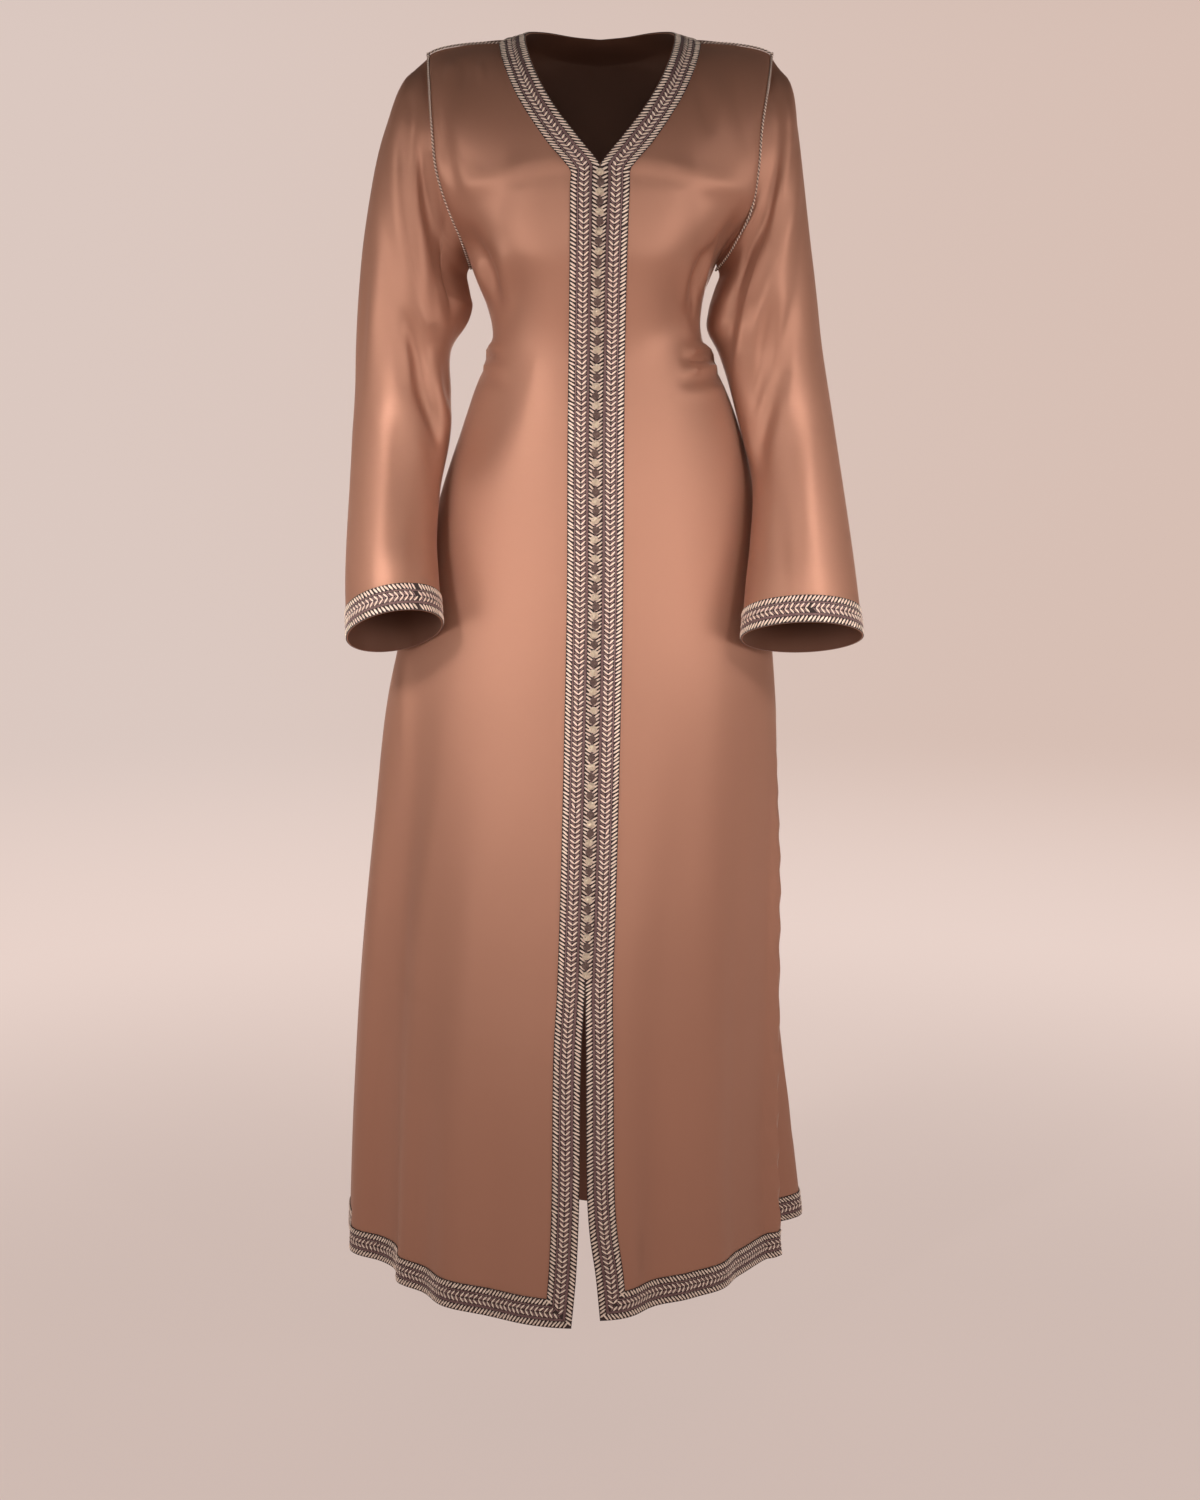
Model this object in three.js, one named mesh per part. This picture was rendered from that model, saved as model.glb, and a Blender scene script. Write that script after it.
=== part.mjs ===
// A floor-length kaftan as it is worn: two fronts, a back and two sleeves of satin, edged with braid.
// Millimetres, +Z up. The front faces -Y, and left and right are as seen from the front: left is -X.
// The origin lies between the shoulders, level with the neck ends of the shoulder seams.
import * as THREE from "three";

// Sizes
const WALL = 1.5; // thickness of the cloth
const GAP = 0.3; // between two pieces at a seam, and under what lies on the cloth
const HEM = -1428; // level of the hem
const ARMPIT = -252; // level where the side seams begin
const BRAID_WIDTH = 31;
const BRAID_LOW = 0.9; // braid thickness between its cords
const BRAID_HIGH = 1.9; // braid thickness on its cords
const PIPING_RADIUS = 1.4;
const PIPING_SIDES = 6;
const PIPING_LIFT = 0.7; // between the piping and the seam under it
const PIPING_PARTS = 8; // lengths of the shoulder piping
const BRAID_END = 1.5; // from the braid to the end of the shoulder piping
const SHARPEST = 0.2; // sine of the sharpest angle at a seam that the piping allows for
const PIPING_EASE = 0.75; // share of the next point's rise that the piping keeps
const BUTTON_RADIUS = 4.4;
const BUTTON_COUNT = 43;
const BUTTON_TOP = -162; // level of the first button
const BUTTON_BOTTOM = -1037; // level of the last button
const BUTTON_SIDES = 8;
const BUTTON_BELTS = 4;
const KNOT = { halfWidth: 4.2, halfLength: 4.2, top: 9.8 }; // a dark knot on the loop cord
const CORD = { halfWidth: 1.5, bottom: 1.85, top: 2.6 }; // the loop cord between its knots

// How finely the pieces are divided
const FRONT_COLUMNS = 15;
const BACK_COLUMNS = 10; // on each side of the middle of the back
const UPPER_ROWS = 10; // from the armpit to the shoulder
const V_ROW = 3; // the upper row that starts at the point of the V
const NAPE_ROW = 6; // the upper row that starts below the back of the neck
const FINE = 64; // points on a curve before it is divided evenly
const MIDDLE_ROUND = 0.45; // how round the rows are halfway up the armhole
const FOLD_REACH = 60; // how far above or below the cloth a fold's path can lie
const X = new THREE.Vector3(1, 0, 0);
const Y = new THREE.Vector3(0, 1, 0);
const Z = new THREE.Vector3(0, 0, 1);

// Middle opening from the V to the hem: where it runs, and how wide it stands open.
const OPENING = [
  { z: -151.5, x: 0.5, gap: GAP },
  { z: -252, x: -1.8, gap: GAP },
  { z: -430, x: -4.5, gap: GAP },
  { z: -625, x: -5.6, gap: GAP },
  { z: -790, x: -9, gap: GAP },
  { z: -965, x: -13.5, gap: GAP },
  { z: -1053, x: -16.5, gap: GAP },
  { z: -1131, x: -18.3, gap: 5.6 },
  { z: -1279, x: -18.8, gap: 8.2 },
  { z: -1330, x: -18, gap: 13 },
  { z: -1376, x: -16, gap: 22 },
  { z: -1428, x: -16, gap: 32 },
];

// Body below the armpits, one ring for each level. left and right are the side lines, at the depths
// leftY and rightY. frontLeft and frontRight are the depths of the two front edges, back that of the
// middle of the back. Bulge is the power of the rounding: 2 is an ellipse, more is squarer.
// rows counts the rows of the grid down to the next ring.
const BODY = [
  {
    z: ARMPIT, left: -147, leftY: 10, right: 132, rightY: 10, frontLeft: -123, frontRight: -123,
    back: 92, bulgeLeft: 2.4, bulgeRight: 2.4, bulgeBack: 2.4, rows: 1,
  },
  {
    z: -292, left: -131, leftY: 8, right: 117, rightY: 8, frontLeft: -113, frontRight: -113,
    back: 87, bulgeLeft: 2.3, bulgeRight: 2.3, bulgeBack: 2.3, rows: 1,
  },
  {
    z: -330, left: -122, leftY: 5, right: 115, rightY: 5, frontLeft: -103, frontRight: -103,
    back: 81, bulgeLeft: 2.2, bulgeRight: 2.2, bulgeBack: 2.2, rows: 2,
  },
  {
    z: -357, left: -127, leftY: 5, right: 125, rightY: 5, frontLeft: -99, frontRight: -99,
    back: 79, bulgeLeft: 2.2, bulgeRight: 2.2, bulgeBack: 2.2, rows: 2,
  },
  {
    z: -385, left: -140, leftY: 5, right: 140, rightY: 5, frontLeft: -101, frontRight: -101,
    back: 84, bulgeLeft: 2.1, bulgeRight: 2.1, bulgeBack: 2.1, rows: 1,
  },
  {
    z: -430, left: -156, leftY: 8, right: 158, rightY: 8, frontLeft: -108, frontRight: -108,
    back: 96, bulgeLeft: 2, bulgeRight: 2, bulgeBack: 2, rows: 1,
  },
  {
    z: -500, left: -180, leftY: 10, right: 176, rightY: 10, frontLeft: -118, frontRight: -118,
    back: 112, bulgeLeft: 1.85, bulgeRight: 1.85, bulgeBack: 2, rows: 2,
  },
  {
    z: -600, left: -209, leftY: 14, right: 191, rightY: 14, frontLeft: -128, frontRight: -128,
    back: 130, bulgeLeft: 1.7, bulgeRight: 1.75, bulgeBack: 2, rows: 2,
  },
  {
    z: -740, left: -247, leftY: 30, right: 205, rightY: 26, frontLeft: -139, frontRight: -139,
    back: 154, bulgeLeft: 1.7, bulgeRight: 1.8, bulgeBack: 2, rows: 2,
  },
  {
    z: -900, left: -269, leftY: 60, right: 214, rightY: 62, frontLeft: -155, frontRight: -155,
    back: 181, bulgeLeft: 1.72, bulgeRight: 1.75, bulgeBack: 2, rows: 2,
  },
  {
    z: -1080, left: -290, leftY: 92, right: 224, rightY: 115, frontLeft: -177, frontRight: -177,
    back: 210, bulgeLeft: 1.7, bulgeRight: 1.68, bulgeBack: 2, rows: 2,
  },
  {
    z: -1260, left: -305, leftY: 125, right: 236, rightY: 160, frontLeft: -200, frontRight: -190,
    back: 237, bulgeLeft: 1.7, bulgeRight: 1.6, bulgeBack: 2, rows: 2,
  },
  {
    z: HEM, left: -315, leftY: 156, right: 258, rightY: 204, frontLeft: -221, frontRight: -196,
    back: 261, bulgeLeft: 1.68, bulgeRight: 1.52, bulgeBack: 2, rows: 0,
  },
];

// Front of the neck from the V up to the shoulder seam, right half: the neckline, and the other edge of
// the braid. The left half is its mirror image.
const NECK_FRONT = [
  { x: 0.15, y: -115, z: -151.5, braidX: 33, braidY: -115, braidZ: -156 },
  { x: 24, y: -108, z: -121, braidX: 53, braidY: -105, braidZ: -133 },
  { x: 46, y: -96, z: -92, braidX: 72, braidY: -92, braidZ: -106 },
  { x: 64, y: -80, z: -62, braidX: 90, braidY: -72, braidZ: -76 },
  { x: 76, y: -55, z: -34, braidX: 102, braidY: -48, braidZ: -49 },
  { x: 82.5, y: -22, z: -11, braidX: 110, braidY: -20, braidZ: -25 },
  { x: 84, y: 10, z: 2, braidX: 113.5, braidY: 10, braidZ: -8 },
];

// Back of the neck from its middle to the shoulder seam, right half.
const NECK_BACK = [
  { x: 0, y: 80, z: 6, braidX: 0, braidY: 93, braidZ: -22 },
  { x: 30, y: 75, z: 8, braidX: 41, braidY: 92, braidZ: -16 },
  { x: 58, y: 58, z: 10, braidX: 77, braidY: 79, braidZ: -3 },
  { x: 77, y: 36, z: 8, braidX: 102, braidY: 49, braidZ: 2 },
  { x: 84, y: 10, z: 2, braidX: 113.5, braidY: 10, braidZ: -8 },
];

// Armholes from the armpit up to the shoulder tip, in front and behind.
const ARMHOLE_FRONT = [
  { left: -147, right: 132, y: 10, z: ARMPIT },
  { left: -156, right: 152, y: -30, z: -224 },
  { left: -168, right: 168, y: -50, z: -195 },
  { left: -181, right: 175, y: -60, z: -153 },
  { left: -186, right: 179, y: -55, z: -108 },
  { left: -190, right: 187, y: -30, z: -64 },
  { left: -194, right: 194, y: 15, z: -23 },
];
const ARMHOLE_BACK = [
  { left: -147, right: 132, y: 10, z: ARMPIT },
  { left: -155, right: 146, y: 50, z: -230 },
  { left: -167, right: 163, y: 75, z: -195 },
  { left: -177, right: 174, y: 84, z: -150 },
  { left: -184, right: 181, y: 73, z: -98 },
  { left: -191, right: 190, y: 48, z: -52 },
  { left: -194, right: 194, y: 15, z: -23 },
];

// Sleeves, one ring for each row down to the cuff: the outermost and innermost points, both at depth y,
// and how far the ring reaches to the front and back of y. tilt raises its front and lowers its back,
// and sway moves both away from the body.
const SLEEVE_LEFT = [
  { outX: -217, outZ: -46, inX: -151, inZ: -264, y: 13, depth: 73, tilt: 0, sway: 12, bulge: 2.1 },
  { outX: -237, outZ: -98, inX: -149, inZ: -276, y: 12, depth: 72, tilt: 0, sway: 14, bulge: 2.1 },
  { outX: -254, outZ: -160, inX: -147, inZ: -287, y: 11, depth: 70, tilt: 0, sway: 12, bulge: 2.1 },
  { outX: -267, outZ: -225, inX: -145, inZ: -299, y: 10, depth: 67, tilt: 0, sway: 8, bulge: 2.1 },
  { outX: -275, outZ: -290, inX: -151, inZ: -318, y: 8, depth: 64, tilt: 0, sway: 4, bulge: 2.1 },
  { outX: -279, outZ: -345, inX: -170, inZ: -349, y: 4, depth: 61, tilt: 0.05, sway: 0, bulge: 2 },
  { outX: -280, outZ: -395, inX: -170, inZ: -397, y: -3, depth: 60, tilt: 0.15, sway: 0, bulge: 2 },
  { outX: -282, outZ: -445, inX: -171, inZ: -447, y: -15, depth: 58, tilt: 0.25, sway: 0, bulge: 2 },
  { outX: -284, outZ: -505, inX: -181, inZ: -502, y: -35, depth: 57, tilt: 0.35, sway: 0, bulge: 2 },
  { outX: -286, outZ: -568, inX: -184, inZ: -558, y: -60, depth: 58, tilt: 0.42, sway: 0, bulge: 2 },
  { outX: -286, outZ: -615, inX: -181, inZ: -600, y: -80, depth: 59, tilt: 0.45, sway: 0, bulge: 2 },
  { outX: -283, outZ: -671, inX: -176, inZ: -651, y: -100, depth: 60, tilt: 0.45, sway: 0, bulge: 2 },
];
const SLEEVE_RIGHT = [
  { outX: 208, outZ: -46, inX: 136, inZ: -264, y: 13, depth: 73, tilt: 0, sway: 18, bulge: 2.1 },
  { outX: 217, outZ: -98, inX: 132, inZ: -276, y: 12, depth: 72, tilt: 0, sway: 18, bulge: 2.1 },
  { outX: 226, outZ: -160, inX: 128, inZ: -288, y: 11, depth: 70, tilt: 0, sway: 14, bulge: 2.1 },
  { outX: 237, outZ: -225, inX: 124, inZ: -302, y: 10, depth: 67, tilt: 0, sway: 8, bulge: 2.1 },
  { outX: 247, outZ: -290, inX: 122, inZ: -325, y: 8, depth: 64, tilt: 0, sway: 4, bulge: 2.1 },
  { outX: 254, outZ: -345, inX: 135, inZ: -352, y: 4, depth: 60, tilt: 0.05, sway: 0, bulge: 2 },
  { outX: 261, outZ: -395, inX: 150, inZ: -397, y: -3, depth: 57, tilt: 0.15, sway: 0, bulge: 2 },
  { outX: 268, outZ: -445, inX: 163, inZ: -447, y: -15, depth: 55, tilt: 0.25, sway: 0, bulge: 2 },
  { outX: 276, outZ: -505, inX: 173, inZ: -502, y: -35, depth: 53, tilt: 0.35, sway: 0, bulge: 2 },
  { outX: 284, outZ: -568, inX: 169, inZ: -566, y: -60, depth: 51, tilt: 0.4, sway: 0, bulge: 2 },
  { outX: 289, outZ: -615, inX: 163, inZ: -614, y: -80, depth: 50, tilt: 0.44, sway: 0, bulge: 2 },
  { outX: 294, outZ: -667, inX: 158, inZ: -669, y: -100, depth: 49, tilt: 0.44, sway: 0, bulge: 2 },
];

// Largest folds. Each point of a path holds x, y, z and how far the cloth stands out there, below zero
// for a hollow. width is how far from its path a fold reaches.
const BODY_FOLDS = [
  // deep fold at the right side of the skirt
  { width: 62, path: [[212, 40, -780, 0], [218, 72, -960, -26], [224, 98, -1180, -40], [232, 118, HEM, -52]] },
  // soft folds at the left side of the skirt
  { width: 55, path: [[-190, -60, -650, 0], [-238, -30, -1000, -12], [-250, -25, HEM, -20]] },
  { width: 45, path: [[-215, -10, -700, 0], [-262, 20, -1000, 7], [-290, 40, HEM, 12]] },
  { width: 60, path: [[-120, -110, -800, 0], [-165, -140, -1150, 6], [-180, -150, HEM, 10]] },
  // soft folds at the right of the front
  { width: 50, path: [[90, -110, -700, 0], [70, -150, -1100, -5], [72, -158, HEM, -9]] },
  { width: 50, path: [[130, -90, -650, 0], [135, -100, -1100, 5], [140, -95, HEM, 9]] },
  // folds down the back of the skirt
  { width: 60, path: [[-110, 120, -560, 0], [-165, 180, -1000, -14], [-205, 215, HEM, -24]] },
  { width: 55, path: [[-50, 125, -540, 0], [-85, 195, -1000, 10], [-110, 245, HEM, 18]] },
  { width: 60, path: [[10, 120, -520, 0], [5, 195, -1000, -12], [-10, 262, HEM, -22]] },
  { width: 55, path: [[60, 120, -540, 0], [85, 190, -1000, 11], [95, 250, HEM, 18]] },
  { width: 60, path: [[110, 100, -580, 0], [150, 170, -1000, -14], [180, 232, HEM, -24]] },
  // pulls from the armpits down the front
  { width: 26, path: [[-146, -40, -212, 0], [-128, -62, -250, -7], [-120, -66, -330, 0]] },
  { width: 26, path: [[150, -48, -205, 0], [126, -66, -252, -9], [114, -66, -325, 0]] },
  // nipped waist
  { width: 16, path: [[-128, 5, -352, 5], [-104, -66, -352, 0]] },
  { width: 16, path: [[126, 5, -356, 6], [96, -70, -354, 0]] },
];
const SLEEVE_LEFT_FOLDS = [
  // front fold from the shoulder to the inner elbow
  { width: 26, path: [[-205, -52, -100, 0], [-196, -60, -190, -8], [-176, -56, -285, -9], [-168, -40, -345, 0]] },
  { width: 30, path: [[-232, -40, -70, 0], [-222, -62, -160, 8], [-203, -58, -270, 7], [-195, -50, -330, 0]] },
  // elbow fold
  { width: 26, path: [[-222, -55, -300, 0], [-206, -60, -385, -9], [-184, -60, -450, -6], [-180, -60, -500, 0]] },
  { width: 30, path: [[-250, 60, -180, 0], [-235, 70, -300, -7], [-215, 60, -420, 0]] },
];
const SLEEVE_RIGHT_FOLDS = [
  { width: 26, path: [[199, -52, -90, 0], [190, -60, -190, -8], [160, -52, -290, -9], [150, -45, -350, 0]] },
  { width: 30, path: [[212, -45, -110, 0], [208, -60, -200, 7], [190, -55, -300, 6], [182, -50, -350, 0]] },
  { width: 26, path: [[205, -55, -290, 0], [196, -60, -370, -9], [172, -62, -450, -6], [170, -70, -500, 0]] },
  { width: 30, path: [[235, 60, -180, 0], [222, 68, -300, -7], [205, 55, -420, 0]] },
];

// Profile of the braid from its edge inwards: three raised bands with a valley between each two.
const BRAID_PROFILE = [
  [0, BRAID_LOW],
  [0.15, BRAID_HIGH],
  [0.29, BRAID_LOW],
  [0.5, BRAID_HIGH],
  [0.71, BRAID_LOW],
  [0.85, BRAID_HIGH],
  [1, BRAID_LOW],
];

// Finishes
const satin = new THREE.MeshStandardMaterial({ color: 0xba8567, roughness: 0.4, metalness: 0 });
const braid = new THREE.MeshStandardMaterial({ color: 0xcdbb9f, roughness: 0.5, metalness: 0.4 });
const piping = new THREE.MeshStandardMaterial({ color: 0xd8c8ae, roughness: 0.5, metalness: 0.3 });
const paleKnot = new THREE.MeshStandardMaterial({ color: 0xd9c8a4, roughness: 0.5, metalness: 0.3 });
const darkKnot = new THREE.MeshStandardMaterial({ color: 0x87665a, roughness: 0.55, metalness: 0.2 });

const vector = (x, y, z) => new THREE.Vector3(x, y, z);
const mix = (a, b, t) => a + (b - a) * t;

// Value at key k on the smooth curve through the given keys and values.
function smooth(keys, values, k) {
  const last = keys.length - 1;
  let i = 0;
  while (i < last - 1 && k > keys[i + 1]) i += 1;
  const slope = (j) => {
    const a = Math.max(j - 1, 0);
    const b = Math.min(j + 1, last);
    return (values[b] - values[a]) / (keys[b] - keys[a]);
  };
  const step = keys[i + 1] - keys[i];
  const t = (k - keys[i]) / step;
  const rest = 1 - t;
  return (
    rest * rest * (1 + 2 * t) * values[i] +
    rest * rest * t * step * slope(i) +
    t * t * (1 + 2 * rest) * values[i + 1] -
    t * t * rest * step * slope(i + 1)
  );
}

// Value of one column of a table at level z.
function column(table, name, z) {
  return smooth(table.map((row) => -row.z), table.map((row) => row[name]), -z);
}

// Distances along a list of points.
function distances(points) {
  const sums = [0];
  for (let i = 1; i < points.length; i += 1) {
    sums.push(sums[i - 1] + points[i].distanceTo(points[i - 1]));
  }
  return sums;
}

// Point at a distance along a list of points.
function pointAt(points, sums, distance) {
  let i = 0;
  while (i < points.length - 2 && distance > sums[i + 1]) i += 1;
  const t = (distance - sums[i]) / (sums[i + 1] - sums[i]);
  return points[i].clone().lerp(points[i + 1], t);
}

// Points that divide a curve into equal parts, starting at a distance from its first point.
function divide(points, parts, from = 0) {
  const sums = distances(points);
  const total = sums[sums.length - 1];
  return Array.from({ length: parts + 1 }, (_, i) => pointAt(points, sums, mix(from, total, i / parts)));
}

// Smooth curve through a few points, as a fine list of points.
function curve(points) {
  const keys = distances(points);
  const total = keys[keys.length - 1];
  return Array.from({ length: FINE + 1 }, (_, i) => {
    const k = (total * i) / FINE;
    return vector(...["x", "y", "z"].map((axis) => smooth(keys, points.map((p) => p[axis]), k)));
  });
}

// Quarter of a rounded ring from point a, over the corner a + b - centre, to point b.
function quarter(centre, a, b, bulge) {
  return Array.from({ length: FINE + 1 }, (_, i) => {
    const angle = ((Math.PI / 2) * i) / FINE;
    const towardsA = Math.max(Math.cos(angle), 0) ** (2 / bulge);
    const towardsB = Math.sin(angle) ** (2 / bulge);
    return centre
      .clone()
      .addScaledVector(a.clone().sub(centre), towardsA)
      .addScaledVector(b.clone().sub(centre), towardsB);
  });
}

// Row of the body's upper part from a to b. Round is 1 where it is level across the middle and falls
// away at the end, and less where it is straighter.
function shoulderRow(a, b, bulge, round) {
  return quarter(vector(a.x, b.y, b.z), a, b, bulge).map((place) => {
    const straight = a.clone().lerp(b, (place.x - a.x) / (b.x - a.x));
    return straight.lerp(place, round);
  });
}

// How round a row is, from 0 at the armpit to 1 at the shoulder seam.
const roundness = (t) => mix(MIDDLE_ROUND, 1, Math.cos(Math.PI * t) ** 2);

// Point of a piece of cloth. seam is its outward direction where two pieces meet, shift the way that it
// moves to leave the gap there.
function clothPoint(place, seam = null, shift = null) {
  const point = { place: place.clone(), out: seam ? seam.clone().normalize() : null, seam: Boolean(seam) };
  if (shift) point.place.addScaledVector(shift, GAP / 2);
  return point;
}

// Levels of the rows below the armpit, from the hem up.
function lowerLevels() {
  const levels = [];
  BODY.forEach((ring, i) => {
    for (let k = 0; k < ring.rows; k += 1) levels.push(mix(ring.z, BODY[i + 1].z, k / ring.rows));
  });
  levels.pop();
  return [...levels, HEM + BRAID_WIDTH, HEM].reverse();
}
const LEVELS = lowerLevels();

// Side seam or armhole: its points, from the hem up to the shoulder tip.
function sideLine(side, face) {
  const name = side < 0 ? "left" : "right";
  const below = LEVELS.slice(0, -1).map((z) => {
    return vector(column(BODY, name, z), column(BODY, name + "Y", z), z);
  });
  const table = face < 0 ? ARMHOLE_FRONT : ARMHOLE_BACK;
  const armhole = divide(curve(table.map((row) => vector(row[name], row.y, row.z))), UPPER_ROWS);
  return { below, armhole, all: [...below, ...armhole] };
}

// Outward direction at a point of the armhole: away from the middle of its loop.
function armholeOut(place) {
  const tip = ARMHOLE_FRONT[ARMHOLE_FRONT.length - 1];
  const armpit = ARMHOLE_FRONT[0];
  const middle = vector(place.x, (tip.y + armpit.y) / 2, (tip.z + armpit.z) / 2);
  return place.clone().sub(middle).normalize();
}

// Outward direction of a seam that runs from a to b, square to the seam and to the given axis.
function seamOut(a, b, axis, towards) {
  const out = b.clone().sub(a).cross(axis).normalize();
  return out.dot(towards) < 0 ? out.negate() : out;
}

// Points of the side line as cloth points of one face.
function sidePoints(side, face) {
  const { below, all } = sideLine(side, face);
  const outwards = vector(side, 0, 0);
  return all.map((place, j) => {
    if (j < below.length) {
      const out = seamOut(all[Math.max(j - 1, 0)], all[j + 1], Y, outwards);
      return clothPoint(place, out, vector(0, face, 0));
    }
    const shift = vector(-side, 0, 0);
    if (j === below.length || j === all.length - 1) shift.y = face;
    return clothPoint(place, armholeOut(place), shift);
  });
}

// Shoulder seam from the braid to the tip, shared by front and back.
function shoulderSeam(side) {
  const start = NECK_FRONT[NECK_FRONT.length - 1];
  const tip = ARMHOLE_FRONT[ARMHOLE_FRONT.length - 1];
  const from = vector(side * start.braidX, start.braidY, start.braidZ);
  return shoulderRow(from, vector(side < 0 ? tip.left : tip.right, tip.y, tip.z), 2, 1);
}

// One quarter of the body. grid holds the rows of cloth points from the braid or the middle of the back
// out to the side, and band those between the edge and the braid's other side.
function bodyQuarter(side, face) {
  const name = side < 0 ? "Left" : "Right";
  const columns = face < 0 ? FRONT_COLUMNS : BACK_COLUMNS;
  const ends = sidePoints(side, face);
  const line = sideLine(side, face).all;
  const neck = face < 0 ? NECK_FRONT : NECK_BACK;
  const turn = face < 0 ? V_ROW : NAPE_ROW;
  const neckRows = UPPER_ROWS - turn;
  const neckline = divide(curve(neck.map((row) => vector(side * row.x, row.y, row.z))), neckRows);
  const braidLine = divide(curve(neck.map((r) => vector(side * r.braidX, r.braidY, r.braidZ))), neckRows);
  const armpitY = face < 0 ? BODY[0]["front" + name] : BODY[0].back;
  const openingX = (z) => {
    return column(OPENING, "x", z) + (side * Math.max(column(OPENING, "gap", z), GAP)) / 2;
  };
  const grid = [];
  const band = [];

  line.forEach((end, j) => {
    const upper = j - (LEVELS.length - 1);
    let edge;
    let row;
    if (upper < 0) {
      const z = LEVELS[j];
      const y = face < 0 ? column(BODY, "front" + name, z) : column(BODY, "back", z);
      edge = vector(face < 0 ? openingX(z) : 0, y, z);
      const bulge = column(BODY, face < 0 ? "bulge" + name : "bulgeBack", z);
      row = quarter(vector(edge.x, end.y, z), edge, end, bulge);
    } else if (upper < turn) {
      const t = upper / turn;
      const top = face < 0 ? neckline[0] : braidLine[0];
      const z = mix(ARMPIT, top.z, t);
      edge = vector(face < 0 ? openingX(z) : 0, mix(armpitY, top.y, t * t), z);
      row = shoulderRow(edge, end, mix(2.4, 2.2, t), roundness(upper / UPPER_ROWS));
    }
    if (edge && face < 0) {
      const cells = divide(row, columns, BRAID_WIDTH);
      band.push([edge, cells[0]]);
      grid.push(cells);
    } else if (edge) {
      grid.push(divide(row, columns));
    } else {
      const k = upper - turn;
      const fraction = k / neckRows;
      band.push([neckline[k], braidLine[k]]);
      const seam = upper === UPPER_ROWS;
      const round = roundness(upper / UPPER_ROWS);
      row = seam ? shoulderSeam(side) : shoulderRow(braidLine[k], end, mix(2.2, 2, fraction), round);
      grid.push(divide(row, columns));
    }
  });

  // cloth points, with the seams' directions and gaps
  const last = grid.length - 1;
  const shoulderShift = vector(0, face, 0);
  const points = grid.map((row, j) => {
    return row.map((place, i) => {
      if (i === columns) return ends[j];
      if (j < last) return clothPoint(place);
      const out = seamOut(row[Math.max(i - 1, 0)], row[i + 1], Y, Z);
      return clothPoint(place, out, shoulderShift);
    });
  });
  const closedRows = face < 0 ? LEVELS.length - 1 + turn : -1;
  const bandPoints = band.map(([edge, other], j) => {
    if (j === band.length - 1) {
      const out = seamOut(edge, other, Y, Z);
      return [clothPoint(edge, out, shoulderShift), points[last][0]];
    }
    if (j < closedRows) {
      const out = seamOut(band[Math.max(j - 1, 0)][0], band[j + 1][0], X, vector(0, face, 0));
      return [clothPoint(edge, out), points[j][0]];
    }
    return [clothPoint(edge), points[grid.length - band.length + j][0]];
  });
  return { points, band: face < 0 ? bandPoints : bandPoints.map(spread), flip: side * face > 0 };
}

// A pair of cloth points with more between them, where the profile of the braid has its own.
function spread([edge, other]) {
  return BRAID_PROFILE.map(([t]) => {
    if (t === 0) return edge;
    if (t === 1) return other;
    return clothPoint(edge.place.clone().lerp(other.place, t), edge.seam ? edge.out : null);
  });
}

// Sleeve: its rows of cloth points round the arm, from the armhole to the cuff. A row starts on the
// outer side and goes round by the front.
function sleeveRows(side, table) {
  const front = sideLine(side, -1).armhole.reverse();
  const back = sideLine(side, 1).armhole;
  const loop = [...front, ...back.slice(1, -1)];
  const rings = [loop];
  table.forEach((row) => {
    const out = vector(row.outX, row.y, row.outZ);
    const inner = vector(row.inX, row.y, row.inZ);
    const centre = out.clone().add(inner).multiplyScalar(0.5);
    const reach = vector(0, -row.depth, row.tilt * row.depth);
    const ahead = centre.clone().add(reach).addScaledVector(X, side * row.sway);
    const behind = centre.clone().sub(reach).addScaledVector(X, side * row.sway);
    const frontHalf = [
      ...quarter(centre, out, ahead, row.bulge),
      ...quarter(centre, ahead, inner, row.bulge).slice(1),
    ];
    const backHalf = [
      ...quarter(centre, inner, behind, row.bulge),
      ...quarter(centre, behind, out, row.bulge).slice(1),
    ];
    rings.push([...divide(frontHalf, UPPER_ROWS), ...divide(backHalf, UPPER_ROWS).slice(1, -1)]);
  });
  // one more ring at the top of the cuff's braid
  const cuff = rings[rings.length - 1];
  const above = rings[rings.length - 2];
  const cuffTop = cuff.map((place, i) => {
    return place.clone().lerp(above[i], BRAID_WIDTH / place.distanceTo(above[i]));
  });
  rings.splice(rings.length - 1, 0, cuffTop);
  const [armhole, ...others] = rings;
  return [
    armhole.map((place) => clothPoint(place, armholeOut(place), vector(side, 0, 0))),
    ...others.map((ring) => ring.map((place) => clothPoint(place))),
  ];
}

// Makes points that lie in one place the same point, in all the grids of a piece.
function weld(grids) {
  const found = new Map();
  grids.forEach((grid) => {
    grid.forEach((row) => {
      row.forEach((point, i) => {
        const key = point.place.toArray().map((v) => Math.round(v * 1000)).join();
        if (!found.has(key)) found.set(key, point);
        row[i] = found.get(key);
      });
    });
  });
  return [...found.values()];
}

// Triangles of a grid of points, facing outwards.
function triangles(grid, flip, closed = false) {
  const faces = [];
  for (let j = 0; j < grid.length - 1; j += 1) {
    const count = closed ? grid[j].length : grid[j].length - 1;
    for (let i = 0; i < count; i += 1) {
      const k = (i + 1) % grid[j].length;
      const [a, b, c, d] = [grid[j][i], grid[j][k], grid[j + 1][k], grid[j + 1][i]];
      faces.push(flip ? [a, c, b] : [a, b, c], flip ? [a, d, c] : [a, c, d]);
    }
  }
  return faces.filter(([a, b, c]) => a !== b && b !== c && c !== a);
}

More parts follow.
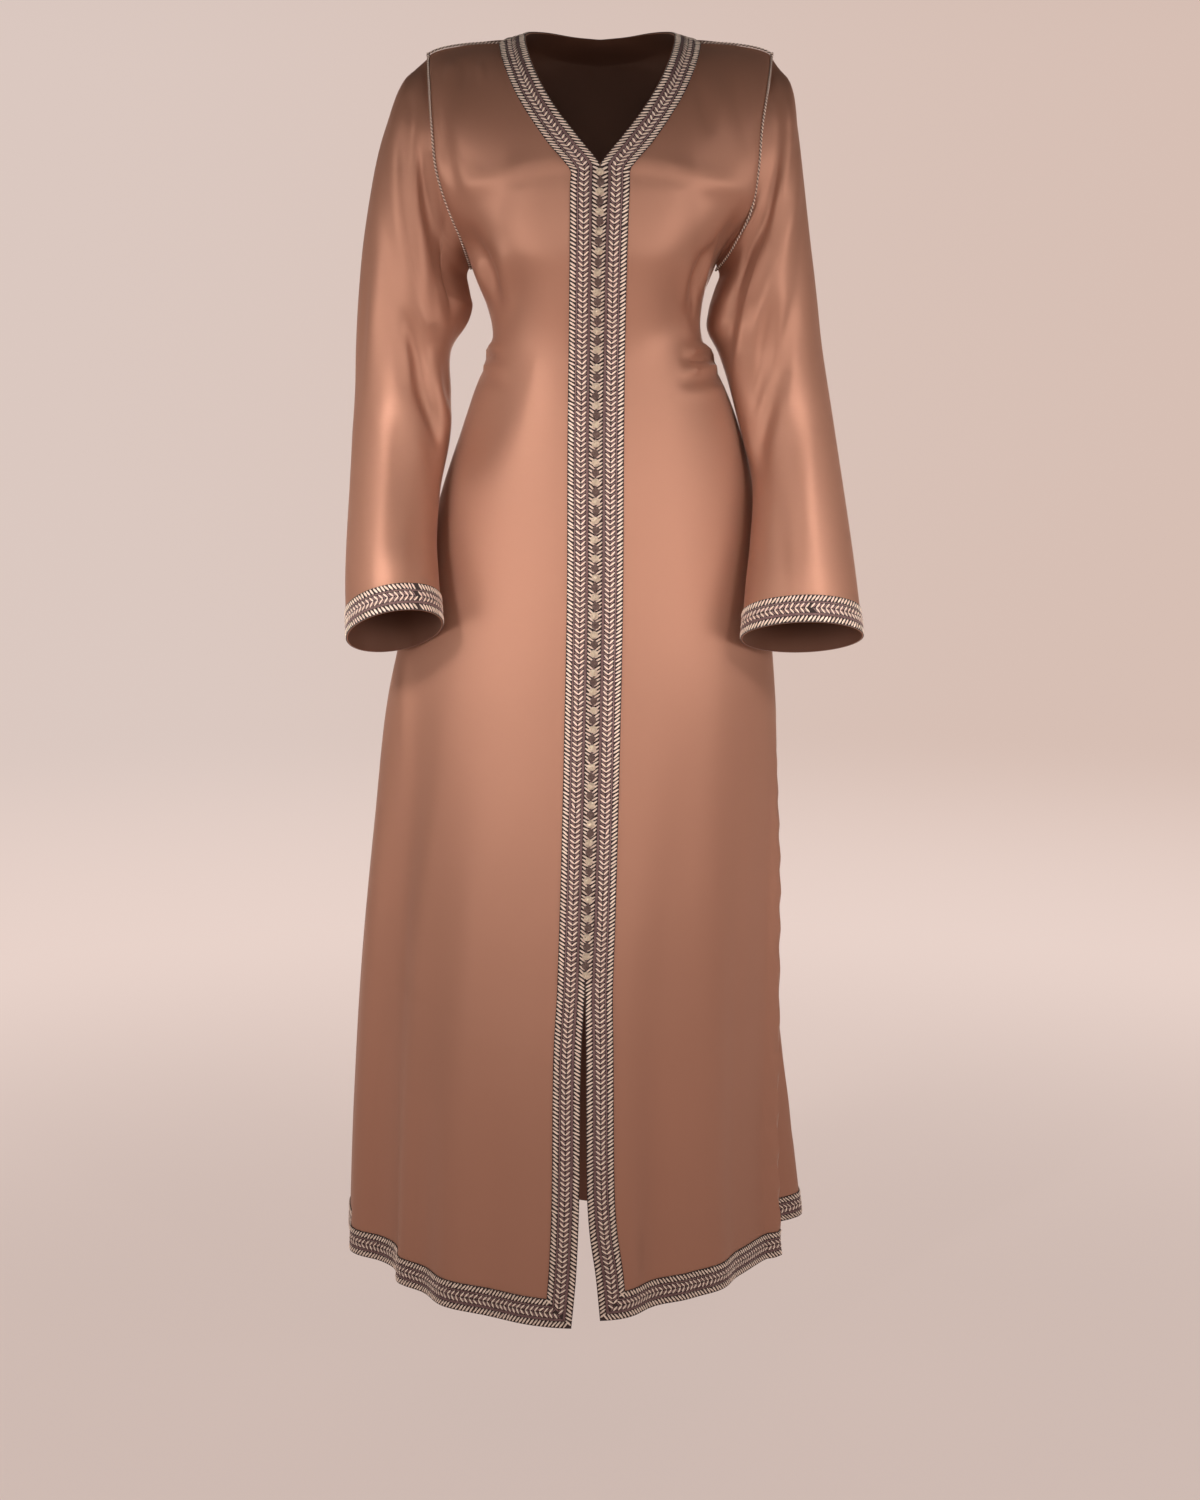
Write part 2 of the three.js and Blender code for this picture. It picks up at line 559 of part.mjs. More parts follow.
// Outward directions of the points that lie on no seam, from the faces round each.
function setOut(points, faces) {
  const sums = new Map(points.map((point) => [point, vector(0, 0, 0)]));
  faces.forEach(([a, b, c]) => {
    const normal = b.place.clone().sub(a.place).cross(c.place.clone().sub(a.place));
    [a, b, c].forEach((point) => sums.get(point).add(normal));
  });
  points.forEach((point) => {
    if (!point.seam) point.out = sums.get(point).normalize();
  });
}

// Moves the points out or in at the folds.
function foldCloth(points, folds, fixed) {
  points.forEach((point) => {
    if (fixed.has(point)) return;
    let rise = 0;
    folds.forEach((fold) => {
      let nearest = Infinity;
      let height = 0;
      for (let i = 0; i < fold.path.length - 1; i += 1) {
        const a = vector(...fold.path[i]);
        const way = vector(...fold.path[i + 1]).sub(a);
        const along = point.place.clone().sub(a).dot(way) / way.lengthSq();
        const t = THREE.MathUtils.clamp(along, 0, 1);
        const from = point.place.clone().sub(a).addScaledVector(way, -t);
        const off = from.dot(point.out);
        const aside = Math.sqrt(Math.max(from.lengthSq() - off * off, 0));
        const away = aside + Math.max(Math.abs(off) - FOLD_REACH, 0);
        if (away < nearest) {
          nearest = away;
          height = mix(fold.path[i][3], fold.path[i + 1][3], t);
        }
      }
      if (nearest < fold.width) rise += (height * (1 + Math.cos((Math.PI * nearest) / fold.width))) / 2;
    });
    point.fold = rise;
  });
  points.forEach((point) => point.place.addScaledVector(point.out, point.fold ?? 0));
}

// Closed geometry from triangles: equal corners are joined, empty triangles dropped, faces turned out.
function geometry(list) {
  const index = new Map();
  const places = [];
  const cornerOf = (p) => {
    const key = p.toArray().map((v) => Math.round(v * 1000)).join();
    if (!index.has(key)) {
      index.set(key, places.length);
      places.push(p);
    }
    return index.get(key);
  };
  const faces = list.map((face) => face.map(cornerOf)).filter(([a, b, c]) => a !== b && b !== c && c !== a);
  const volume = faces.reduce((sum, [a, b, c]) => {
    return sum + places[a].dot(places[b].clone().cross(places[c]));
  }, 0);
  if (volume < 0) faces.forEach((face) => face.reverse());
  const made = new THREE.BufferGeometry();
  made.setAttribute("position", new THREE.Float32BufferAttribute(places.flatMap((p) => p.toArray()), 3));
  made.setIndex(faces.flat());
  made.computeVertexNormals();
  return made;
}

const lift = (point, height) => point.place.clone().addScaledVector(point.out, height);

// Wall of cloth: its outer faces, its inner faces and the edges between them.
function wall(faces) {
  const sides = new Map();
  faces.forEach((face) => {
    face.forEach((a, i) => {
      const b = face[(i + 1) % 3];
      if (!sides.has(b) || !sides.get(b).delete(a)) {
        if (!sides.has(a)) sides.set(a, new Set());
        sides.get(a).add(b);
      }
    });
  });
  const list = [];
  faces.forEach(([a, b, c]) => {
    list.push([lift(a, 0), lift(b, 0), lift(c, 0)]);
    list.push([lift(a, -WALL), lift(c, -WALL), lift(b, -WALL)]);
  });
  sides.forEach((ends, a) => {
    ends.forEach((b) => {
      list.push([lift(a, 0), lift(a, -WALL), lift(b, 0)]);
      list.push([lift(b, 0), lift(a, -WALL), lift(b, -WALL)]);
    });
  });
  return geometry(list);
}

// Solid through rings of points. Each ring has the outline given for the ends, which are capped unless
// the last ring joins the first. turned(j, i) says that face i after ring j is split the other way.
function loft(rings, outline, closed = false, turned = () => false) {
  const list = [];
  const spans = closed ? rings.length : rings.length - 1;
  for (let j = 0; j < spans; j += 1) {
    const a = rings[j];
    const b = rings[(j + 1) % rings.length];
    a.forEach((_, i) => {
      const k = (i + 1) % a.length;
      if (turned(j, i)) list.push([a[i], a[k], b[i]], [a[k], b[k], b[i]]);
      else list.push([a[i], a[k], b[k]], [a[i], b[k], b[i]]);
    });
  }
  if (!closed) {
    const flat = outline.map(([x, y]) => new THREE.Vector2(x, y));
    const end = rings[rings.length - 1];
    const turn = Math.sign(THREE.ShapeUtils.area(flat));
    THREE.ShapeUtils.triangulateShape(flat, []).forEach((face) => {
      const same = Math.sign(THREE.ShapeUtils.area(face.map((i) => flat[i]))) === turn;
      const [i, k, l] = same ? face : [...face].reverse();
      list.push([rings[0][i], rings[0][l], rings[0][k]], [end[i], end[k], end[l]]);
    });
  }
  return geometry(list);
}

// Braid along pairs of cloth points: the edge it follows and its other side. Its faces are split as
// those of the cloth are, the other way from pair turnAt on. On a twisted stretch its underside is
// divided like its top.
function braidStrip(pairs, turnAt = Infinity, { closed = false, twisted = false } = {}) {
  const bottom = BRAID_PROFILE.map(([t]) => t).filter((t) => twisted || t === 0 || t === 1).reverse();
  const rings = pairs.map(([edge, other]) => {
    const point = (t, height) => lift(edge, height).lerp(lift(other, height), t);
    return [
      ...BRAID_PROFILE.map(([t, rise]) => point(t, GAP + rise)),
      ...bottom.map((t) => point(t, GAP)),
    ];
  });
  const outline = [
    ...BRAID_PROFILE.map(([t, rise]) => [t * BRAID_WIDTH, GAP + rise]),
    ...bottom.map((t) => [t * BRAID_WIDTH, GAP]),
  ];
  const under = BRAID_PROFILE.length;
  return loft(rings, outline, closed, (j, i) => (j >= turnAt) === (i >= under));
}

// Round cord through places with the directions out of the cloth there.
function roundCord(places, outs, radius, closed = false) {
  const count = places.length;
  const angles = Array.from({ length: PIPING_SIDES }, (_, i) => (2 * Math.PI * i) / PIPING_SIDES);
  const rings = places.map((place, j) => {
    const before = places[closed ? (j + count - 1) % count : Math.max(j - 1, 0)];
    const after = places[closed ? (j + 1) % count : Math.min(j + 1, count - 1)];
    const along = after.clone().sub(before).normalize();
    const across = along.clone().cross(outs[j]).normalize();
    const up = across.clone().cross(along);
    return angles.map((angle) => {
      return place
        .clone()
        .addScaledVector(across, radius * Math.cos(angle))
        .addScaledVector(up, radius * Math.sin(angle));
    });
  });
  return loft(rings, angles.map((angle) => [Math.cos(angle), Math.sin(angle)]), closed);
}

// Cord round an armhole. Where body and sleeve meet at a sharp angle it lies further out.
function armholePiping(seam, bodyNext, sleeveNext) {
  const rises = seam.map((point, i) => {
    const both = [bodyNext[i], sleeveNext[i]].map((next) => {
      const rise = next.place.clone().sub(point.place).normalize().dot(point.out);
      const sine = rise > 0 ? Math.sqrt(1 - rise * rise) : 1;
      return (PIPING_RADIUS + PIPING_LIFT) / Math.max(sine, SHARPEST);
    });
    return Math.max(...both);
  });
  const count = seam.length;
  const places = seam.map((point, i) => {
    const beside = Math.max(rises[(i + 1) % count], rises[(i + count - 1) % count]);
    return lift(point, Math.max(rises[i], PIPING_EASE * beside));
  });
  return roundCord(places, seam.map((point) => point.out), PIPING_RADIUS, true);
}

// Builds the pieces
const group = new THREE.Group();
function add(name, shape, material) {
  const mesh = new THREE.Mesh(shape, material);
  mesh.name = name;
  group.add(mesh);
}

const quarters = {
  frontLeft: bodyQuarter(-1, -1),
  frontRight: bodyQuarter(1, -1),
  backLeft: bodyQuarter(-1, 1),
  backRight: bodyQuarter(1, 1),
};

// Seams whose points stay where the pieces meet, whatever the folds do.
function heldPoints(quarterParts) {
  const held = new Set();
  quarterParts.forEach(({ points, band }) => {
    points.slice(LEVELS.length - 1).forEach((row) => held.add(row[row.length - 1]));
    points[points.length - 1].forEach((point) => held.add(point));
    band[band.length - 1].forEach((point) => held.add(point));
  });
  return held;
}

function bodyPiece(parts, folds) {
  const points = weld(parts.flatMap((part) => [part.points, part.band]));
  const faces = parts.flatMap((part) => [
    ...triangles(part.points, part.flip),
    ...triangles(part.band, part.flip),
  ]);
  setOut(points, faces);
  foldCloth(points, folds, heldPoints(parts));
  setOut(points, faces);
  return wall(faces);
}

function sleevePiece(rows, side, folds) {
  const points = weld([rows]);
  const faces = triangles(rows, side < 0, true);
  setOut(points, faces);
  foldCloth(points, folds, new Set(rows[0]));
  setOut(points, faces);
  return wall(faces);
}

add("front_left", bodyPiece([quarters.frontLeft], BODY_FOLDS), satin);
add("front_right", bodyPiece([quarters.frontRight], BODY_FOLDS), satin);
add("back", bodyPiece([quarters.backLeft, quarters.backRight], BODY_FOLDS), satin);

const sleeves = { left: sleeveRows(-1, SLEEVE_LEFT), right: sleeveRows(1, SLEEVE_RIGHT) };
add("sleeve_left", sleevePiece(sleeves.left, -1, SLEEVE_LEFT_FOLDS), satin);
add("sleeve_right", sleevePiece(sleeves.right, 1, SLEEVE_RIGHT_FOLDS), satin);

// Braid of one front: down the neck and the opening, round the corner and along the hem.
function frontBraid({ points, band }) {
  const down = [...band].reverse().slice(0, -1);
  const corner = [band[0][0], band[1][1]];
  const along = points[0].map((point, i) => [point, points[1][i]]);
  return braidStrip([...down, corner, ...along], down.length + 1);
}
add("braid_front_left", frontBraid(quarters.frontLeft), braid);
add("braid_front_right", frontBraid(quarters.frontRight), braid);

const pairsOf = ({ band }) => band.map((row) => [row[0], row[row.length - 1]]);
const napeLeft = pairsOf(quarters.backLeft).reverse();
const napePairs = [...napeLeft, ...pairsOf(quarters.backRight).slice(1)];
const napeShape = braidStrip(napePairs, napeLeft.length - 1, { twisted: true });
add("braid_neck_back", napeShape, braid);

const hemOf = ({ points }) => points[0].map((point, i) => [point, points[1][i]]);
const hemLeft = hemOf(quarters.backLeft).reverse();
const hemPairs = [...hemLeft, ...hemOf(quarters.backRight).slice(1)];
add("braid_hem_back", braidStrip(hemPairs, hemLeft.length - 1), braid);

["left", "right"].forEach((name) => {
  const rows = sleeves[name];
  const cuff = rows[rows.length - 1].map((point, i) => [point, rows[rows.length - 2][i]]);
  add("braid_cuff_" + name, braidStrip(cuff, Infinity, { closed: true }), braid);
});

// Piping on the shoulder and armhole seams
["Left", "Right"].forEach((name) => {
  const front = quarters["front" + name];
  const back = quarters["back" + name];
  const shoulder = front.points[front.points.length - 1];
  const cord = divide(shoulder.map((point) => point.place), PIPING_PARTS, BRAID_END).slice(0, -1);
  const outs = cord.map((place) => {
    const away = (point) => point.place.distanceTo(place);
    return shoulder.reduce((best, point) => (away(point) < away(best) ? point : best)).out;
  });
  const lifted = cord.map((place, i) => place.addScaledVector(outs[i], PIPING_RADIUS + GAP));
  add("piping_shoulder_" + name.toLowerCase(), roundCord(lifted, outs, PIPING_RADIUS), piping);
  const rows = sleeves[name.toLowerCase()];
  const lower = LEVELS.length - 1;
  const inwards = (part, j) => {
    const row = part.points[Math.max(j, lower)];
    return j === lower ? part.points[lower - 1][row.length - 1] : row[row.length - 2];
  };
  const top = front.points.length - 1;
  const ups = Array.from({ length: UPPER_ROWS + 1 }, (_, k) => top - k);
  const bodyNext = [
    ...ups.map((j) => inwards(front, j)),
    ...ups.slice(1, -1).reverse().map((j) => inwards(back, j)),
  ];
  add("piping_armhole_" + name.toLowerCase(), armholePiping(rows[0], bodyNext, rows[1]), piping);
});

// Place on the closed opening at level z, and the direction out of the cloth there.
function openingAt(z) {
  const left = quarters.frontLeft.band;
  const right = quarters.frontRight.band;
  let j = 0;
  while (left[j + 1][0].place.z < z) j += 1;
  const t = (z - left[j][0].place.z) / (left[j + 1][0].place.z - left[j][0].place.z);
  const place = vector(0, 0, 0);
  [left, right].forEach((band) => {
    place.addScaledVector(band[j][0].place, (1 - t) / 2).addScaledVector(band[j + 1][0].place, t / 2);
  });
  const out = left[j][0].out.clone().lerp(left[j + 1][0].out, t).normalize();
  return { place, out };
}

// Pale buttons
const PITCH = (BUTTON_TOP - BUTTON_BOTTOM) / (BUTTON_COUNT - 1);
for (let i = 0; i < BUTTON_COUNT; i += 1) {
  const { place, out } = openingAt(BUTTON_TOP - i * PITCH);
  const ball = new THREE.SphereGeometry(BUTTON_RADIUS, BUTTON_SIDES, BUTTON_BELTS);
  const centre = place.addScaledVector(out, CORD.top + GAP + BUTTON_RADIUS);
  ball.rotateX(Math.PI / 2).translate(centre.x, centre.y, centre.z);
  add("button_" + String(i + 1).padStart(2, "0"), ball, paleKnot);
}

// Cord with the dark knots
const CORD_SIDES = 6;
const cordAngles = Array.from({ length: CORD_SIDES }, (_, i) => (2 * Math.PI * (i + 0.5)) / CORD_SIDES);
function cordRing(z, halfWidth, bottom, top) {
  const { place, out } = openingAt(z);
  const middle = (bottom + top) / 2;
  return cordAngles.map((angle) => {
    return place
      .clone()
      .addScaledVector(X, halfWidth * Math.cos(angle))
      .addScaledVector(out, middle + ((top - bottom) / 2) * Math.sin(angle));
  });
}
const cordRings = [];
cordRings.push(cordRing(BUTTON_TOP - 1, CORD.halfWidth, CORD.bottom, CORD.top));
for (let i = 0; i < BUTTON_COUNT - 1; i += 1) {
  const z = BUTTON_TOP - (i + 0.5) * PITCH;
  const { halfWidth, halfLength, top } = KNOT;
  cordRings.push(
    cordRing(z + halfLength, CORD.halfWidth, CORD.bottom, CORD.top),
    cordRing(z + halfLength / 2, halfWidth, CORD.bottom, top),
    cordRing(z - halfLength / 2, halfWidth, CORD.bottom, top),
    cordRing(z - halfLength, CORD.halfWidth, CORD.bottom, CORD.top),
  );
}
cordRings.push(cordRing(BUTTON_BOTTOM + 1, CORD.halfWidth, CORD.bottom, CORD.top));
add("loop_cord", loft(cordRings, cordAngles.map((angle) => [Math.cos(angle), Math.sin(angle)])), darkKnot);

export default group;
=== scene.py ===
"""A floor-length satin kaftan in the shape it takes when worn, with braid, piping and knotted buttons.

Sizes are in millimetres until a mesh is made, and in metres from there on. The front faces -Y, and left and
right are as seen from the front, so left is -X.
"""

import functools
import math

import bpy
import numpy as np
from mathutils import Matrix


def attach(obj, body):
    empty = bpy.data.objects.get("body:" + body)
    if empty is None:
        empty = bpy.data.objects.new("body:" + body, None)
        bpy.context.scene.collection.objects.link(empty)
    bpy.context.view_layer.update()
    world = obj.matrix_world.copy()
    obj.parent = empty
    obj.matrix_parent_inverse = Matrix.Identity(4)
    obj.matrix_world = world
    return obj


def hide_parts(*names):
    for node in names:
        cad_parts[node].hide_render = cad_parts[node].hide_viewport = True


bl_info = {
    "name": "Satin kaftan",
    "version": (1, 0, 0),
    "blender": (4, 5, 0),
    "location": "3D View > Sidebar > Kaftan",
    "description": "Builds a worn satin kaftan with braid, piping and knotted buttons",
    "category": "Add Mesh",
}

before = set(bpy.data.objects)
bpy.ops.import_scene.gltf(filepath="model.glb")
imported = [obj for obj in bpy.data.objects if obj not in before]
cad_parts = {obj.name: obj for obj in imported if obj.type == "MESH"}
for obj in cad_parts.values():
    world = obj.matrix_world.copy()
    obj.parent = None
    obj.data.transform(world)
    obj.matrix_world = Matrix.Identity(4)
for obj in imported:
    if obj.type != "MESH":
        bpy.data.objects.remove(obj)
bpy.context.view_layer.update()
MM = 0.001

# Sizes of the garment
GAP = 0.3
HEM = -1428.0
ARMPIT = -252.0
BRAID_WIDTH = 31.0
BUTTON_COUNT = 43
BUTTON_TOP = -162.0
BUTTON_BOTTOM = -1037.0
PIPING_RADIUS = 1.4

# Names and signs of the two sides
SIDES = (("left", -1), ("right", 1))

# How finely the cloth is divided
CELL = 5.5
FRONT_COLUMNS = 48
BACK_COLUMNS = 52
BAND_COLUMNS = 6
UPPER_ROWS = 60
V_ROW = 18
NAPE_ROW = 36
CURVE_PARTS = 96
CREASE_PARTS = 4

# Rounding of the upper body: how round its middle rows are, its power at the armpit and at the lowest point
# of the neckline, how much that falls from each to the next place up, and its power at the shoulder seam
MIDDLE_ROUND = 0.45
ARMPIT_BULGE = 2.4
NECK_BULGE = 2.2
BULGE_FALL = 0.2
SEAM_BULGE = 2.0

# Evening out of the surface: rounds, shares of each round's two steps, and rounds between new directions
RELAX_ROUNDS = 80
RELAX_SHARES = (0.5, -0.508)
RELAX_TURNS = 10

# How far in front of or behind a fold's path it still reaches, and how the creases fade round the sides
FOLD_REACH = 60.0
FACING_SLOPE = 3
FACING_EDGE = 0.3

# Points nearer than one thousandth of a millimetre are joined
STEPS_PER_MM = 1000

X_AXIS = np.array([1.0, 0.0, 0.0])
Y_AXIS = np.array([0.0, 1.0, 0.0])
Z_AXIS = np.array([0.0, 0.0, 1.0])


def table(names, rows):
    """Rows of numbers as dictionaries with the given names."""
    return [dict(zip(names.split(), row)) for row in rows]


# Middle opening from the V to the hem: where it runs, and how wide it stands open.
OPENING = table(
    "z x gap",
    [
        (-151.5, 0.5, 0.3),
        (-252, -1.8, 0.3),
        (-430, -4.5, 0.3),
        (-625, -5.6, 0.3),
        (-790, -9, 0.3),
        (-965, -13.5, 0.3),
        (-1053, -16.5, 0.3),
        (-1131, -18.3, 5.6),
        (-1279, -18.8, 8.2),
        (-1330, -18, 13),
        (-1376, -16, 22),
        (-1428, -16, 32),
    ],
)

# Body below the armpits, one ring for each level: side lines with their depths, depths of the two front
# edges and of the middle of the back, and the power of each rounding.
BODY = table(
    "z left left_y right right_y front_left front_right back bulge_left bulge_right bulge_back",
    [
        (-252, -147, 10, 132, 10, -123, -123, 92, 2.4, 2.4, 2.4),
        (-292, -131, 8, 117, 8, -113, -113, 87, 2.3, 2.3, 2.3),
        (-330, -122, 5, 115, 5, -103, -103, 81, 2.2, 2.2, 2.2),
        (-357, -127, 5, 125, 5, -99, -99, 79, 2.2, 2.2, 2.2),
        (-385, -140, 5, 140, 5, -101, -101, 84, 2.1, 2.1, 2.1),
        (-430, -156, 8, 158, 8, -108, -108, 96, 2, 2, 2),
        (-500, -180, 10, 176, 10, -118, -118, 112, 1.85, 1.85, 2),
        (-600, -209, 14, 191, 14, -128, -128, 130, 1.7, 1.75, 2),
        (-740, -247, 30, 205, 26, -139, -139, 154, 1.7, 1.8, 2),
        (-900, -269, 60, 214, 62, -155, -155, 181, 1.72, 1.75, 2),
        (-1080, -290, 92, 224, 115, -177, -177, 210, 1.7, 1.68, 2),
        (-1260, -305, 125, 236, 160, -200, -190, 237, 1.7, 1.6, 2),
        (-1428, -315, 156, 258, 204, -221, -196, 261, 1.68, 1.52, 2),
    ],
)

# Neckline and the other edge of its braid, right half, in front and behind.
NECK_FRONT = table(
    "x y z braid_x braid_y braid_z",
    [
        (0.15, -115, -151.5, 33, -115, -156),
        (24, -108, -121, 53, -105, -133),
        (46, -96, -92, 72, -92, -106),
        (64, -80, -62, 90, -72, -76),
        (76, -55, -34, 102, -48, -49),
        (82.5, -22, -11, 110, -20, -25),
        (84, 10, 2, 113.5, 10, -8),
    ],
)
NECK_BACK = table(
    "x y z braid_x braid_y braid_z",
    [
        (0, 80, 6, 0, 93, -22),
        (30, 75, 8, 41, 92, -16),
        (58, 58, 10, 77, 79, -3),
        (77, 36, 8, 102, 49, 2),
        (84, 10, 2, 113.5, 10, -8),
    ],
)

# Armholes from the armpit up to the shoulder tip.
ARMHOLE_FRONT = table(
    "left right y z",
    [
        (-147, 132, 10, -252),
        (-156, 152, -30, -224),
        (-168, 168, -50, -195),
        (-181, 175, -60, -153),
        (-186, 179, -55, -108),
        (-190, 187, -30, -64),
        (-194, 194, 15, -23),
    ],
)
ARMHOLE_BACK = table(
    "left right y z",
    [
        (-147, 132, 10, -252),
        (-155, 146, 50, -230),
        (-167, 163, 75, -195),
        (-177, 174, 84, -150),
        (-184, 181, 73, -98),
        (-191, 190, 48, -52),
        (-194, 194, 15, -23),
    ],
)

# Sleeve rings: outermost and innermost points at depth y, reach to the front and back, how far the front
# is raised, how far both go away from the body, and the power of the rounding.
SLEEVE_NAMES = "out_x out_z in_x in_z y depth tilt sway bulge"
SLEEVE_LEFT = table(
    SLEEVE_NAMES,
    [
        (-217, -46, -151, -264, 13, 73, 0, 12, 2.1),
        (-237, -98, -149, -276, 12, 72, 0, 14, 2.1),
        (-254, -160, -147, -287, 11, 70, 0, 12, 2.1),
        (-267, -225, -145, -299, 10, 67, 0, 8, 2.1),
        (-275, -290, -151, -318, 8, 64, 0, 4, 2.1),
        (-279, -345, -170, -349, 4, 61, 0.05, 0, 2),
        (-280, -395, -170, -397, -3, 60, 0.15, 0, 2),
        (-282, -445, -171, -447, -15, 58, 0.25, 0, 2),
        (-284, -505, -181, -502, -35, 57, 0.35, 0, 2),
        (-286, -568, -184, -558, -60, 58, 0.42, 0, 2),
        (-286, -615, -181, -600, -80, 59, 0.45, 0, 2),
        (-283, -671, -176, -651, -100, 60, 0.45, 0, 2),
    ],
)
SLEEVE_RIGHT = table(
    SLEEVE_NAMES,
    [
        (208, -46, 136, -264, 13, 73, 0, 18, 2.1),
        (217, -98, 132, -276, 12, 72, 0, 18, 2.1),
        (226, -160, 128, -288, 11, 70, 0, 14, 2.1),
        (237, -225, 124, -302, 10, 67, 0, 8, 2.1),
        (247, -290, 122, -325, 8, 64, 0, 4, 2.1),
        (254, -345, 135, -352, 4, 60, 0.05, 0, 2),
        (261, -395, 150, -397, -3, 57, 0.15, 0, 2),
        (268, -445, 163, -447, -15, 55, 0.25, 0, 2),
        (276, -505, 173, -502, -35, 53, 0.35, 0, 2),
        (284, -568, 169, -566, -60, 51, 0.4, 0, 2),
        (289, -615, 163, -614, -80, 50, 0.44, 0, 2),
        (294, -667, 158, -669, -100, 49, 0.44, 0, 2),
    ],
)

# Largest folds, as the solids have them: width, then points of x, y, z and height.
BODY_FOLDS = [
    # deep fold at the right side of the skirt
    (62, [(212, 40, -780, 0), (218, 72, -960, -26), (224, 98, -1180, -40), (232, 118, HEM, -52)]),
    # soft folds at the left side of the skirt
    (55, [(-190, -60, -650, 0), (-238, -30, -1000, -12), (-250, -25, HEM, -20)]),
    (45, [(-215, -10, -700, 0), (-262, 20, -1000, 7), (-290, 40, HEM, 12)]),
    (60, [(-120, -110, -800, 0), (-165, -140, -1150, 6), (-180, -150, HEM, 10)]),
    # soft folds at the right of the front
    (50, [(90, -110, -700, 0), (70, -150, -1100, -5), (72, -158, HEM, -9)]),
    (50, [(130, -90, -650, 0), (135, -100, -1100, 5), (140, -95, HEM, 9)]),
    # folds down the back of the skirt
    (60, [(-110, 120, -560, 0), (-165, 180, -1000, -14), (-205, 215, HEM, -24)]),
    (55, [(-50, 125, -540, 0), (-85, 195, -1000, 10), (-110, 245, HEM, 18)]),
    (60, [(10, 120, -520, 0), (5, 195, -1000, -12), (-10, 262, HEM, -22)]),
    (55, [(60, 120, -540, 0), (85, 190, -1000, 11), (95, 250, HEM, 18)]),
    (60, [(110, 100, -580, 0), (150, 170, -1000, -14), (180, 232, HEM, -24)]),
    # pulls from the armpits down the front
    (26, [(-146, -40, -212, 0), (-128, -62, -250, -7), (-120, -66, -330, 0)]),
    (26, [(150, -48, -205, 0), (126, -66, -252, -9), (114, -66, -325, 0)]),
    # nipped waist
    (16, [(-128, 5, -352, 5), (-104, -66, -352, 0)]),
    (16, [(126, 5, -356, 6), (96, -70, -354, 0)]),
]
SLEEVE_LEFT_FOLDS = [
    (26, [(-205, -52, -100, 0), (-196, -60, -190, -8), (-176, -56, -285, -9), (-168, -40, -345, 0)]),
    (30, [(-232, -40, -70, 0), (-222, -62, -160, 8), (-203, -58, -270, 7), (-195, -50, -330, 0)]),
    (26, [(-222, -55, -300, 0), (-206, -60, -385, -9), (-184, -60, -450, -6), (-180, -60, -500, 0)]),
    (30, [(-250, 60, -180, 0), (-235, 70, -300, -7), (-215, 60, -420, 0)]),
]
SLEEVE_RIGHT_FOLDS = [
    (26, [(199, -52, -90, 0), (190, -60, -190, -8), (160, -52, -290, -9), (150, -45, -350, 0)]),
    (30, [(212, -45, -110, 0), (208, -60, -200, 7), (190, -55, -300, 6), (182, -50, -350, 0)]),
    (26, [(205, -55, -290, 0), (196, -60, -370, -9), (172, -62, -450, -6), (170, -70, -500, 0)]),
    (30, [(235, 60, -180, 0), (222, 68, -300, -7), (205, 55, -420, 0)]),
]

# Further folds that only the finished cloth has: the crisp edge of the deep fold at the right of the
# skirt with the hollow behind it
SHARP_FOLDS = [
    (18, [(203, 8, -770, 0), (204, 16, -960, 9), (204, 28, -1180, 12), (207, 27, HEM, 13)]),
    (26, [(211, 32, -770, 0), (215, 46, -960, -20), (219, 62, -1180, -24), (226, 72, HEM, -24)]),
]

